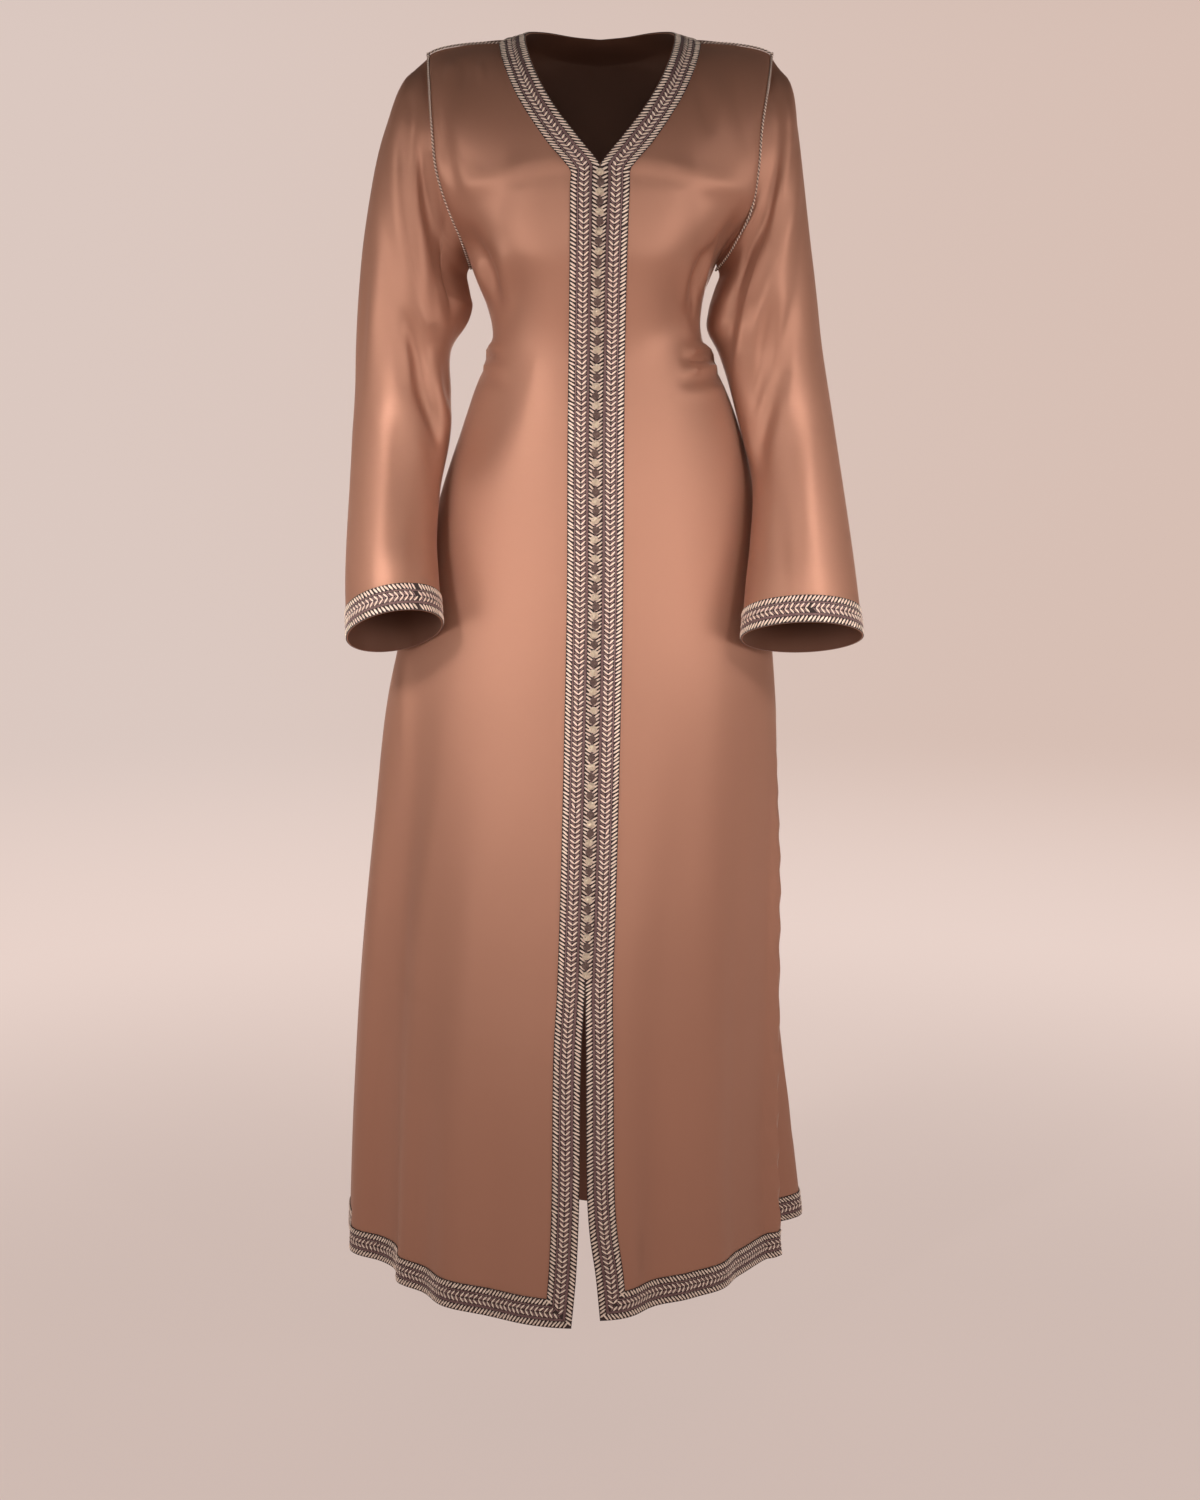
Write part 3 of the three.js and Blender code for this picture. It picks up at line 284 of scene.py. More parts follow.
# Finer creases, seen from the front or from behind: width, then points of x, z and height. A crease
# runs through its points as a soft ridge, or a trough where its height is below zero.
FRONT_CREASES = [
    # the cloth's soft fullness below the neckline
    (55, [(-105, -174, 6), (-80, -176, 9), (-45, -178, 7)]),
    (55, [(104, -174, 6), (79, -176, 9), (44, -178, 7)]),
    (12, [(-146, -178, 0), (-112, -177, 1.4), (-60, -176, 1.7), (-18, -174, 1.3)]),
    (12, [(146, -178, 0), (112, -177, 1.4), (60, -176, 1.7), (18, -174, 1.3)]),
    # pleats below the left shoulder seam, and pulls across the chest
    (5, [(-163, -26, 0), (-166, -38, 1.6), (-170, -60, 0)]),
    (6, [(-150, -27, 0), (-150, -42, -1.6), (-153, -70, 0)]),
    (5, [(-135, -30, 0), (-132, -42, 1.3), (-128, -64, 0)]),
    (9, [(-174, -60, 0), (-174, -100, -3), (-165, -150, -3), (-150, -196, 0)]),
    (12, [(-158, -76, 0), (-156, -120, 2.2), (-146, -170, 1.5), (-130, -205, 0)]),
    (8, [(104, -39, 0), (112, -76, -2.6), (122, -118, 0)]),
    (9, [(126, -42, 0), (134, -80, 2), (138, -120, 0)]),
    (8, [(150, -46, 0), (156, -90, -1.6), (158, -130, 0)]),
    # pulls below the armpits
    (26, [(-100, -252, 0), (-96, -288, -3.5), (-98, -328, 0)]),
    (24, [(98, -256, 0), (94, -290, -3), (94, -328, 0)]),
    (8, [(-150, -200, 0), (-134, -236, -4), (-122, -268, -5), (-122, -312, 0)]),
    (7, [(-138, -236, 0), (-134, -264, 4.5), (-128, -304, 0)]),
    (8, [(-116, -226, 0), (-107, -264, 3.4), (-110, -326, 0)]),
    (10, [(-98, -262, 0), (-98, -300, -2), (-106, -340, 0)]),
    (10, [(164, -180, 0), (146, -222, -7), (128, -262, -6), (120, -306, 0)]),
    (7, [(130, -222, 0), (119, -262, 5.5), (112, -322, 0)]),
    (6, [(114, -236, 0), (107, -270, -5), (106, -306, 0)]),
    (7, [(100, -244, 0), (95, -282, 4), (102, -326, 0)]),
    (7, [(94, -262, 0), (90, -292, -2.6), (101, -334, 0)]),
    (7, [(86, -270, 0), (90, -306, 2.4), (110, -346, 0)]),
    # pleats at the waist
    (6, [(-140, -340, 3), (-126, -343, 3.5), (-108, -350, 0)]),
    (5.5, [(-138, -352, -5), (-124, -355, -4.5), (-104, -361, 0)]),
    (6, [(-138, -364, 4), (-122, -368, 3.4), (-98, -376, 0)]),
    (7, [(-134, -378, -3), (-118, -383, -2.4), (-96, -391, 0)]),
    (6, [(138, -344, 5), (118, -348, 4.6), (92, -353, 0)]),
    (5.5, [(138, -356, -6.5), (116, -358, -6), (88, -362, 0)]),
    (6, [(136, -368, 5), (114, -370, 4.6), (84, -374, 0)]),
    (6, [(134, -380, -4), (112, -382, -3.4), (86, -387, 0)]),
    (8, [(130, -393, 2.4), (108, -396, 2), (84, -402, 0)]),
    # crisp edge of the deep fold at the right of the skirt
    (10, [(202, -770, 0), (204, -840, 3), (203, -1000, 4), (202, -1160, 4), (206, HEM, 5)]),
    # narrow ridge at the left of the skirt, and soft bands near the hem
    (9, [(-226, -640, 0), (-228, -690, 2.6), (-226, -800, 2.2), (-230, -960, 0)]),
    (22, [(-240, -1000, 0), (-234, -1160, 3), (-232, HEM, 5)]),
    (22, [(-262, -900, 0), (-268, -1120, -3), (-270, HEM, -4)]),
    (26, [(70, -1120, 0), (66, -1260, -3), (60, HEM, -5)]),
    (26, [(30, -1150, 0), (28, -1290, 2.5), (26, HEM, 3)]),
    (24, [(-120, -1180, 0), (-120, -1300, -2.5), (-118, HEM, -4)]),
    (20, [(-204, -1200, 0), (-206, -1330, -4), (-208, HEM, -7)]),
]
BACK_CREASES = [
    # pulls below the armpits and across the small of the back
    (8, [(-150, -190, 0), (-128, -240, -4), (-112, -300, 0)]),
    (9, [(-138, -210, 0), (-118, -262, 3), (-108, -320, 0)]),
    (8, [(148, -186, 0), (124, -240, -4), (108, -300, 0)]),
    (9, [(134, -206, 0), (112, -262, 3), (104, -320, 0)]),
    (5, [(-130, -346, 3), (-106, -352, 2), (-70, -356, 0)]),
    (4, [(-130, -356, -3), (-104, -362, -2), (-64, -366, 0)]),
    (5, [(-126, -366, 2.4), (-98, -374, 1.6), (-60, -378, 0)]),
    (5, [(130, -348, 3.4), (102, -354, 2.2), (66, -358, 0)]),
    (4, [(128, -358, -3), (98, -364, -2), (60, -368, 0)]),
    (5, [(126, -368, 2.4), (96, -376, 1.6), (58, -380, 0)]),
    (7, [(-60, -336, 0), (-10, -342, 1.6), (48, -338, 0)]),
    # falls from the shoulders
    (9, [(-130, -60, 0), (-126, -130, -2.2), (-112, -210, 0)]),
    (9, [(128, -58, 0), (122, -130, -2.2), (108, -206, 0)]),
    (16, [(-40, -420, 0), (-52, -620, 2.5), (-70, -900, 0)]),
    (16, [(52, -430, 0), (66, -640, 2.5), (84, -920, 0)]),
]
SLEEVE_LEFT_CREASES = [
    # long falls from the shoulder down the inner side
    (8, [(-203, -40, 0), (-206, -110, 3.5), (-204, -180, 4.5),
         (-192, -244, 4), (-180, -300, 3), (-172, -346, 0)]),
    (8, [(-214, -60, 0), (-217, -130, -3), (-214, -200, -4.5), (-203, -260, -5), (-190, -320, 0)]),
    (13, [(-190, -110, 0), (-188, -170, -8), (-174, -235, -14), (-163, -290, -13), (-158, -345, 0)]),
    (6, [(-196, -92, 0), (-188, -160, 2.6), (-180, -212, 3), (-166, -238, 2.4), (-146, -262, 0)]),
    (6, [(-186, -120, 0), (-179, -184, -3), (-170, -222, -3), (-152, -250, 0)]),
    (12, [(-236, -60, 0), (-244, -150, 2.4), (-246, -240, 2), (-250, -330, 0)]),
    # outer side above the elbow
    (9, [(-258, -230, 0), (-266, -300, -3), (-273, -374, -2.4), (-277, -440, 0)]),
    (10, [(-250, -240, 0), (-255, -310, 2), (-262, -390, 0)]),
    # from the elbow towards the cuff
    (7, [(-229, -296, 0), (-218, -350, 4), (-211, -400, 4.4), (-198, -434, 4), (-182, -478, 0)]),
    (9, [(-216, -306, 0), (-204, -356, -6), (-198, -398, -7), (-187, -434, -5), (-176, -476, 0)]),
    (6, [(-186, -346, 0), (-181, -390, 3), (-173, -424, 3), (-172, -460, 0)]),
    (6, [(-176, -346, 0), (-173, -390, -3), (-169, -424, 0)]),
    (12, [(-240, -400, 0), (-238, -490, 2), (-242, -600, 0)]),
    (9, [(-205, -500, 0), (-204, -570, -2), (-206, -640, 0)]),
]
SLEEVE_RIGHT_CREASES = [
    # long falls from the shoulder down the inner side
    (7, [(190, -36, 0), (204, -72, 3), (208, -110, 4), (204, -150, 4.6), (197, -186, 4), (187, -224, 0)]),
    (7, [(197, -60, 0), (198, -110, -3.4), (194, -160, -4.6), (185, -206, -3), (174, -240, 0)]),
    (7, [(192, -200, 0), (174, -262, 4.4), (162, -308, 5), (155, -372, 4), (163, -440, 3), (173, -486, 0)]),
    (9, [(184, -196, 0), (160, -255, -8), (148, -306, -7), (143, -372, 0)]),
    (5, [(184, -178, 0), (160, -222, 3), (130, -254, 0)]),
    (7, [(178, -165, 0), (152, -210, -7), (126, -240, 0)]),
    (12, [(222, -80, 0), (226, -160, 2), (232, -260, 0)]),
    # from the elbow towards the cuff
    (8, [(207, -270, 0), (199, -328, 4), (193, -374, 4), (183, -414, 3), (173, -478, 0)]),
    (9, [(195, -276, 0), (185, -330, -5), (179, -376, -5), (171, -424, 0)]),
    (10, [(240, -260, 0), (247, -340, -2.4), (254, -420, 0)]),
    (14, [(226, -400, 0), (232, -500, 2), (240, -620, 0)]),
    (9, [(200, -500, 0), (202, -570, -2), (206, -650, 0)]),
]

# Bands across the braid, from its edge inwards: where each starts and ends, and its kind.
BRAID_BANDS = [
    ("plait", 0.3, 7.6),
    ("line", 7.9, 8.9),
    ("line", 9.2, 10.2),
    ("herringbone", 10.5, 21.7),
    ("line", 22.1, 23.3),
    ("plait", 23.7, 30.7),
]
# Threads of a band: how far apart they are, widths and heights of the pale ones and of any mauve ones
# between them, how far they lean back for each millimetre across, and the ways they slant.
STITCHES = {
    "plait": {"pitch": 4.4, "wide": [1.2], "high": [1.1], "lean": 0.7, "ways": [1]},
    "herringbone": {"pitch": 2.85, "wide": [1.15, 0.75], "high": [1.05, 0.8], "lean": 0.9, "ways": [-1, 1]},
}
# Unevenness of the threads: along, across, in their slant and in their height
UNEVEN_ALONG = 0.16
UNEVEN_ACROSS = 0.1
UNEVEN_SLANT = 0.07
UNEVEN_HEIGHT = (0.82, 1.1)

# Braid in section: heights of its underside and its ground, how far from its edges the ground's inner points
# start, height of its lines, and how deep its lines and threads sink in
BRAID_BOTTOM = 0.3
BRAID_GROUND = 1.0
BRAID_EDGE = 0.6
LINE_HEIGHT = 0.62
LINE_SINK = 0.1
STITCH_SINK = 0.15

# Where the ends of the braid meet on the cuffs, and how far the threads stop from there and from an end
CUFF_JOINS = {"left": -200.0, "right": 231.0}
JOIN_GAP = 1.6
RIBBON_MARGIN = 0.6

# Twisted cords: points for each turn, radius and swing of one thread as shares of the cord's radius, its
# sides, and radius and twist of the cord at the buttons
TURN_PARTS = 8
PLY_SIZE = 0.56
PLY_SWING = 0.5
PLY_SIDES = 6
LOOP_CORD_RADIUS = 1.2
LOOP_CORD_TWIST = 3.6

# Knots: turns, waves and thickness of the cord that winds round a button and round a dark knot, its points
# and sides, the latitude that it reaches in degrees, and the size of a dark knot beside a button's
BUTTON_WINDING = (3, 4, 1.15)
DARK_WINDING = (3, 5, 1.0)
WINDING_PARTS = 88
WINDING_SIDES = 5
WINDING_TOP = 66
DARK_SIZE = 0.95

# How far the buttons, the dark knots and their cord stand off the cloth, how deep a dark knot sits as a
# share of a button's radius, and how unevenly they all sit: in millimetres across and in radians
BUTTON_LIFT = 2.9
DARK_LIFT = 2.2
DARK_SEAT = 0.9
LOOP_CORD_LIFT = 2.6
KNOT_SWAY = 0.5
KNOT_TILT = 0.6


# Curves and rows of the cut


def unit(vector):
    """Vectors of length one, also for a whole array of them."""
    length = np.linalg.norm(vector, axis=-1, keepdims=True)
    return vector / np.maximum(length, 1e-12)


def smooth(keys, values, at):
    """Values at some keys on the smooth curve through the given keys and values."""
    keys = np.asarray(keys, float)
    values = np.asarray(values, float)
    at = np.atleast_1d(np.asarray(at, float))
    last = len(keys) - 1
    before = np.maximum(np.arange(last + 1) - 1, 0)
    after = np.minimum(np.arange(last + 1) + 1, last)
    spans = keys[after] - keys[before]
    shape = (-1,) + (1,) * (values.ndim - 1)
    slopes = (values[after] - values[before]) / spans.reshape(shape)
    i = np.searchsorted(keys[1:last], at, side="left")
    step = (keys[i + 1] - keys[i]).reshape(shape)
    t = (at - keys[i]).reshape(shape) / step
    rest = 1 - t
    start = rest * rest * ((1 + 2 * t) * values[i] + t * step * slopes[i])
    return start + t * t * ((1 + 2 * rest) * values[i + 1] - rest * step * slopes[i + 1])


def column(rows, name, z):
    """Value of one column of a table at level z."""
    return float(smooth([-row["z"] for row in rows], [row[name] for row in rows], -z)[0])


def distances(points):
    """Distances along a list of points."""
    return np.concatenate([[0.0], np.cumsum(np.linalg.norm(np.diff(points, axis=0), axis=1))])


def points_at(points, at):
    """Points at some distances along a list of points."""
    sums = distances(points)
    return np.stack([np.interp(at, sums, points[:, k]) for k in range(3)], axis=1)


def divide(points, parts, start=0.0):
    """Points that divide a curve into equal parts, from a distance after its first point."""
    return points_at(points, np.linspace(start, distances(points)[-1], parts + 1))


def curve(points):
    """Smooth curve through a few points, as a fine list of points."""
    points = np.asarray(points, float)
    keys = distances(points)
    return smooth(keys, points, np.linspace(0, keys[-1], CURVE_PARTS + 1))


def quarter(centre, a, b, bulge):
    """Quarter of a rounded ring from a, over the corner a + b - centre, to b."""
    angle = np.linspace(0, math.pi / 2, CURVE_PARTS + 1)
    towards_a = np.maximum(np.cos(angle), 0) ** (2 / bulge)
    towards_b = np.sin(angle) ** (2 / bulge)
    return centre + np.outer(towards_a, a - centre) + np.outer(towards_b, b - centre)


def shoulder_row(a, b, bulge, round_share):
    """Row of the upper body from a to b, straighter where the share is less than 1."""
    arc = quarter(np.array([a[0], b[1], b[2]]), a, b, bulge)
    t = ((arc[:, 0] - a[0]) / (b[0] - a[0]))[:, None]
    straight = a + (b - a) * t
    return straight + (arc - straight) * round_share


def roundness(t):
    """How round a row is, from 0 at the armpit to 1 at the shoulder seam."""
    return MIDDLE_ROUND + (1 - MIDDLE_ROUND) * math.cos(math.pi * t) ** 2


def lower_levels():
    """Levels of the rows from the hem up to the armpit."""
    rows = math.ceil((ARMPIT - HEM - BRAID_WIDTH) / CELL)
    band = np.linspace(HEM, HEM + BRAID_WIDTH, BAND_COLUMNS + 1)
    return np.concatenate([band[:-1], np.linspace(HEM + BRAID_WIDTH, ARMPIT, rows + 1)])


LEVELS = lower_levels()
LOWER_ROWS = len(LEVELS) - 1


def side_line(side, face):
    """Side seam and armhole, from the hem up to the shoulder tip."""
    name = "left" if side < 0 else "right"
    below = [(column(BODY, name, z), column(BODY, name + "_y", z), z) for z in LEVELS[:-1]]
    rows = ARMHOLE_FRONT if face < 0 else ARMHOLE_BACK
    armhole = divide(curve([(row[name], row["y"], row["z"]) for row in rows]), UPPER_ROWS)
    return np.vstack([below, armhole])


def armhole_out(places):
    """Outward directions at points of the armhole: away from the middle of its loop."""
    tip = ARMHOLE_FRONT[-1]
    armpit = ARMHOLE_FRONT[0]
    out = np.array(places, float)
    out[..., 0] = 0
    out[..., 1] -= (tip["y"] + armpit["y"]) / 2
    out[..., 2] -= (tip["z"] + armpit["z"]) / 2
    return unit(out)


def seam_out(a, b, axis, towards):
    """Outward direction of a seam that runs from a to b, square to the seam and to the axis."""
    out = unit(np.cross(b - a, axis))
    return -out if out @ np.asarray(towards, float) < 0 else out


def side_points(side, face):
    """Places and directions of the side line for one face, with the seam's gap."""
    line = side_line(side, face)
    place = line.copy()
    out = armhole_out(line)
    for j in range(LOWER_ROWS):
        out[j] = seam_out(line[max(j - 1, 0)], line[j + 1], Y_AXIS, (side, 0, 0))
    place[:LOWER_ROWS, 1] += face * GAP / 2
    place[LOWER_ROWS:, 0] -= side * GAP / 2
    for j in (LOWER_ROWS, -1):
        place[j, 1] += face * GAP / 2
    return place, out


def shoulder_seam(side):
    """Shoulder seam from the braid to the tip."""
    start = NECK_FRONT[-1]
    tip = ARMHOLE_FRONT[-1]
    a = np.array([side * start["braid_x"], start["braid_y"], start["braid_z"]], float)
    b = np.array([tip["left"] if side < 0 else tip["right"], tip["y"], tip["z"]], float)
    return shoulder_row(a, b, SEAM_BULGE, 1)


def neck_edges(side, face, rows):
    """The neckline and the other edge of its braid, each divided into rows."""
    neck = NECK_FRONT if face < 0 else NECK_BACK
    edge = curve([(side * row["x"], row["y"], row["z"]) for row in neck])
    other = curve([(side * row["braid_x"], row["braid_y"], row["braid_z"]) for row in neck])
    return divide(edge, rows), divide(other, rows)


def opening_x(side, z):
    """Where the edge of one front runs at level z."""
    return column(OPENING, "x", z) + side * max(column(OPENING, "gap", z), GAP) / 2


def body_quarter(side, face):
    """One quarter of the body: the grid from the braid or the middle of the back out to the side, the
    grid under the neck's braid, and which way their faces turn."""
    name = "left" if side < 0 else "right"
    columns = FRONT_COLUMNS if face < 0 else BACK_COLUMNS
    end_place, end_out = side_points(side, face)
    line = side_line(side, face)
    turn = V_ROW if face < 0 else NAPE_ROW
    neck_rows = UPPER_ROWS - turn
    neckline, braid_line = neck_edges(side, face, neck_rows)
    armpit_y = BODY[0]["front_" + name] if face < 0 else BODY[0]["back"]
    across = np.linspace(0, 1, BAND_COLUMNS + 1)[:, None]
    grid = []
    band = []
    for j, end in enumerate(line):
        upper = j - LOWER_ROWS
        if upper < turn:
            if upper < 0:
                z = LEVELS[j]
                y = column(BODY, "front_" + name if face < 0 else "back", z)
                edge = np.array([opening_x(side, z) if face < 0 else 0, y, z])
                bulge = column(BODY, "bulge_" + (name if face < 0 else "back"), z)
                row = quarter(np.array([edge[0], end[1], z]), edge, end, bulge)
            else:
                t = upper / turn
                top = neckline[0] if face < 0 else braid_line[0]
                z = ARMPIT + (top[2] - ARMPIT) * t
                y = armpit_y + (top[1] - armpit_y) * t * t
                edge = np.array([opening_x(side, z) if face < 0 else 0, y, z])
                row = shoulder_row(edge, end, ARMPIT_BULGE - BULGE_FALL * t, roundness(upper / UPPER_ROWS))
            if face < 0:
                band.append(points_at(row, np.linspace(0, BRAID_WIDTH, BAND_COLUMNS + 1)))
                grid.append(divide(row, columns, BRAID_WIDTH))
            else:
                grid.append(divide(row, columns))
        else:
            k = upper - turn
            band.append(neckline[k] + (braid_line[k] - neckline[k]) * across)
            bulge = NECK_BULGE - BULGE_FALL * k / neck_rows
            share = roundness(upper / UPPER_ROWS)
            row = shoulder_row(braid_line[k], end, bulge, share)
            grid.append(divide(shoulder_seam(side) if upper == UPPER_ROWS else row, columns))
    main = Grid(np.array(grid), side * face > 0)
    neck = Grid(np.array(band), side * face > 0)
    main.place[:, -1] = end_place
    main.out[:, -1] = end_out
    for part in (main, neck):
        top = part.place[-1].copy()
        count = len(top)
        for i in range(count if part is neck else count - 1):
            ahead = min(i + 1, count - 1)
            part.out[-1, i] = seam_out(top[max(i - 1, 0)], top[ahead], Y_AXIS, Z_AXIS)
        part.place[-1, : count if part is neck else count - 1, 1] += face * GAP / 2
    if face < 0:
        for j in range(LOWER_ROWS + turn):
            low = neck.place[max(j - 1, 0), 0]
            neck.out[j, 0] = seam_out(low, neck.place[j + 1, 0], X_AXIS, (0, face, 0))
    main.held[LOWER_ROWS:, -1] = True
    main.held[-1] = True
    neck.held[-1] = True
    return main, neck


class Grid:
    """Rows of cloth points. out holds the directions at seams, and held the points that no fold moves."""

    def __init__(self, place, flip, closed=False):
        self.place = place
        self.out = np.full(place.shape, np.nan)
        self.held = np.zeros(place.shape[:2], bool)
        self.flip = flip
        self.closed = closed
        self.index = None

    def faces(self):
        """Corners of the faces, and how far across and along the cloth each lies."""
        index = self.index
        u = np.concatenate([[0.0], np.cumsum(np.linalg.norm(np.diff(self.place, axis=1), axis=2).mean(0))])
        v = np.concatenate([[0.0], np.cumsum(np.linalg.norm(np.diff(self.place, axis=0), axis=2).mean(1))])
        if self.closed:
            index = np.hstack([index, index[:, :1]])
            u = np.append(u, u[-1] + (u[-1] - u[-2]))
        corners = [index[:-1, :-1], index[:-1, 1:], index[1:, 1:], index[1:, :-1]]
        across = [u[:-1], u[1:], u[1:], u[:-1]]
        along = [v[:-1], v[:-1], v[1:], v[1:]]
        faces = np.stack(corners, axis=-1).reshape(-1, 4)
        rows, columns = len(v) - 1, len(u) - 1
        us = np.stack([np.tile(a, (rows, 1)) for a in across], axis=-1).reshape(-1, 4)
        vs = np.stack([np.tile(a[:, None], (1, columns)) for a in along], axis=-1).reshape(-1, 4)
        uv = np.stack([us, vs], axis=-1)
        if self.flip:
            return faces[:, ::-1], uv[:, ::-1]
        return faces, uv


class Cloth:
    """Grids joined into one piece of cloth, folded and creased."""

    def __init__(self, grids):
        places = np.concatenate([g.place.reshape(-1, 3) for g in grids])
        outs = np.concatenate([g.out.reshape(-1, 3) for g in grids])
        held = np.concatenate([g.held.ravel() for g in grids])
        keys = np.round(places * STEPS_PER_MM).astype(np.int64)
        _, first, inverse = np.unique(keys, axis=0, return_index=True, return_inverse=True)
        inverse = inverse.ravel()
        self.grids = grids
        self.place = places[first]
        self.seam_out = np.full(self.place.shape, np.nan)
        known = ~np.isnan(outs[:, 0])
        self.seam_out[inverse[known]] = outs[known]
        self.held = np.zeros(len(self.place), bool)
        self.held[inverse[held]] = True
        start = 0
        for g in grids:
            size = g.held.size
            g.index = inverse[start : start + size].reshape(g.held.shape)
            start += size
        parts = [g.faces() for g in grids]
        self.faces = np.concatenate([faces for faces, _ in parts])
        self.uv = np.concatenate([uv for _, uv in parts])
        self.set_out()

    def set_out(self):
        """Outward directions from the faces round each point, or the seam's own."""
        a, b, c, d = (self.place[self.faces[:, k]] for k in range(4))
        normals = np.cross(c - a, d - b)
        out = np.zeros_like(self.place)
        for k in range(4):
            np.add.at(out, self.faces[:, k], normals)
        self.out = unit(out)
        seam = ~np.isnan(self.seam_out[:, 0])
        self.out[seam] = self.seam_out[seam]

    def relax(self, rounds):
        """Evens out the surface between its edges, so that its rows run into each other."""
        pairs = np.concatenate([self.faces[:, [k, (k + 1) % 4]] for k in range(4)])
        pairs = pairs[pairs[:, 0] != pairs[:, 1]]
        pairs, uses = np.unique(np.sort(pairs, axis=1), axis=0, return_counts=True)
        count = len(self.place)
        free = np.ones(count, bool)
        free[pairs[uses == 1]] = False
        a, b = pairs.T
        near = np.maximum(np.bincount(a, minlength=count) + np.bincount(b, minlength=count), 1)
        for turn in range(rounds):
            for share in RELAX_SHARES:
                total = np.zeros_like(self.place)
                for k in range(3):
                    total[:, k] += np.bincount(a, self.place[b, k], minlength=count)
                    total[:, k] += np.bincount(b, self.place[a, k], minlength=count)
                rise = ((total / near[:, None] - self.place) * self.out).sum(1) * free
                self.place = self.place + self.out * (share * rise)[:, None]
            if (turn + 1) % RELAX_TURNS == 0:
                self.set_out()

    def fold(self, folds):
        """Moves the points out or in at the largest folds."""
        rise = np.zeros(len(self.place))
        for width, path in folds:
            path = np.array(path, float)
            nearest = np.full(len(self.place), np.inf)
            height = np.zeros(len(self.place))
            for a, b in zip(path[:-1], path[1:]):
                way = b[:3] - a[:3]
                t = np.clip((self.place - a[:3]) @ way / (way @ way), 0, 1)
                offset = self.place - a[:3] - t[:, None] * way
                off = (offset * self.out).sum(1)
                aside = np.sqrt(np.maximum((offset * offset).sum(1) - off * off, 0))
                away = aside + np.maximum(np.abs(off) - FOLD_REACH, 0)
                closer = away < nearest
                nearest[closer] = away[closer]
                height[closer] = (a[3] + (b[3] - a[3]) * t)[closer]
            near = nearest < width
            rise[near] += height[near] * (1 + np.cos(math.pi * nearest[near] / width)) / 2
        self.move(rise)

    def crease(self, creases, facing):
        """Soft ridges and troughs on the side of the cloth that faces -Y or +Y."""
        rise = np.zeros(len(self.place))
        flat = self.place[:, [0, 2]]
        for width, path in creases:
            path = np.array(path, float)
            keys = distances(path[:, :2])
            fine = smooth(keys, path, np.linspace(0, keys[-1], CREASE_PARTS * len(path)))
            nearest = np.full(len(flat), np.inf)
            height = np.zeros(len(flat))
            for a, b in zip(fine[:-1], fine[1:]):
                way = b[:2] - a[:2]
                t = np.clip((flat - a[:2]) @ way / (way @ way), 0, 1)
                away = np.linalg.norm(flat - a[:2] - t[:, None] * way, axis=1)
                closer = away < nearest
                nearest[closer] = away[closer]
                height[closer] = (a[2] + (b[2] - a[2]) * t)[closer]
            rise += height * np.exp(-((nearest / width) ** 2))
        self.move(rise * np.clip(FACING_SLOPE * facing * self.out[:, 1] + FACING_EDGE, 0, 1))

    def move(self, rise):
        """Moves the points along their directions, apart from those at held seams."""
        rise[self.held] = 0
        self.place = self.place + self.out * rise[:, None]
        self.set_out()

    def at(self, grid):
        """Places and directions of one of its grids."""
        return self.place[grid.index], self.out[grid.index]


def sleeve_grid(side, rings):
    """Sleeve from the armhole to the cuff, each row from the outer side round by the front."""
    front = side_line(side, -1)[LOWER_ROWS:][::-1]
    back = side_line(side, 1)[LOWER_ROWS:]
    loops = [np.vstack([front, back[1:-1]])]
    for ring in rings:
        out = np.array([ring["out_x"], ring["y"], ring["out_z"]], float)
        inner = np.array([ring["in_x"], ring["y"], ring["in_z"]], float)
        centre = (out + inner) / 2
        reach = np.array([0, -ring["depth"], ring["tilt"] * ring["depth"]])
        sway = side * ring["sway"] * X_AXIS
        ahead = centre + reach + sway
        behind = centre - reach + sway
        corners = [out, ahead, inner, behind, out]
        arcs = [quarter(centre, a, b, ring["bulge"]) for a, b in zip(corners[:-1], corners[1:])]
        front_half = divide(np.vstack([arcs[0], arcs[1][1:]]), UPPER_ROWS)
        back_half = divide(np.vstack([arcs[2], arcs[3][1:]]), UPPER_ROWS)
        loops.append(np.vstack([front_half, back_half[1:-1]]))
    loops = np.array(loops)
    lines = []
    for i in range(loops.shape[1]):
        keys = distances(loops[:, i])
        upper = keys[-1] - BRAID_WIDTH
        above = np.linspace(0, upper, round(upper / CELL) if i == 0 else rows)
        rows = len(above)
        cuff = np.linspace(upper, keys[-1], BAND_COLUMNS + 1)[1:]
        lines.append(smooth(keys, loops[:, i], np.concatenate([above, cuff])))
    grid = Grid(np.array(lines).transpose(1, 0, 2), side < 0, closed=True)
    grid.out[0] = armhole_out(grid.place[0])
    grid.place[0, :, 0] += side * GAP / 2
    grid.held[0] = True
    return grid


def folded_body(grids, creases, facing):
    """A front or the back, evened out, folded and creased."""
    cloth = Cloth(list(grids))
    cloth.relax(RELAX_ROUNDS)
    cloth.fold(BODY_FOLDS + SHARP_FOLDS)
    cloth.crease(creases, facing)
    return cloth


@functools.lru_cache(maxsize=None)
def garment():
    """All the cloth of the garment: each piece with its grids."""
    made = {}
    for name, side in SIDES:
        made["front_" + name] = folded_body(body_quarter(side, -1), FRONT_CREASES, -1)
    made["back"] = folded_body([*body_quarter(-1, 1), *body_quarter(1, 1)], BACK_CREASES, 1)
    sleeves = {
        "left": (SLEEVE_LEFT, SLEEVE_LEFT_FOLDS, SLEEVE_LEFT_CREASES),
        "right": (SLEEVE_RIGHT, SLEEVE_RIGHT_FOLDS, SLEEVE_RIGHT_CREASES),
    }
    for name, side in SIDES:
        rings, folds, creases = sleeves[name]
        cloth = Cloth([sleeve_grid(side, rings)])
        cloth.fold(folds)
        cloth.crease(creases, -1)
        made["sleeve_" + name] = cloth
    return made


# Meshes

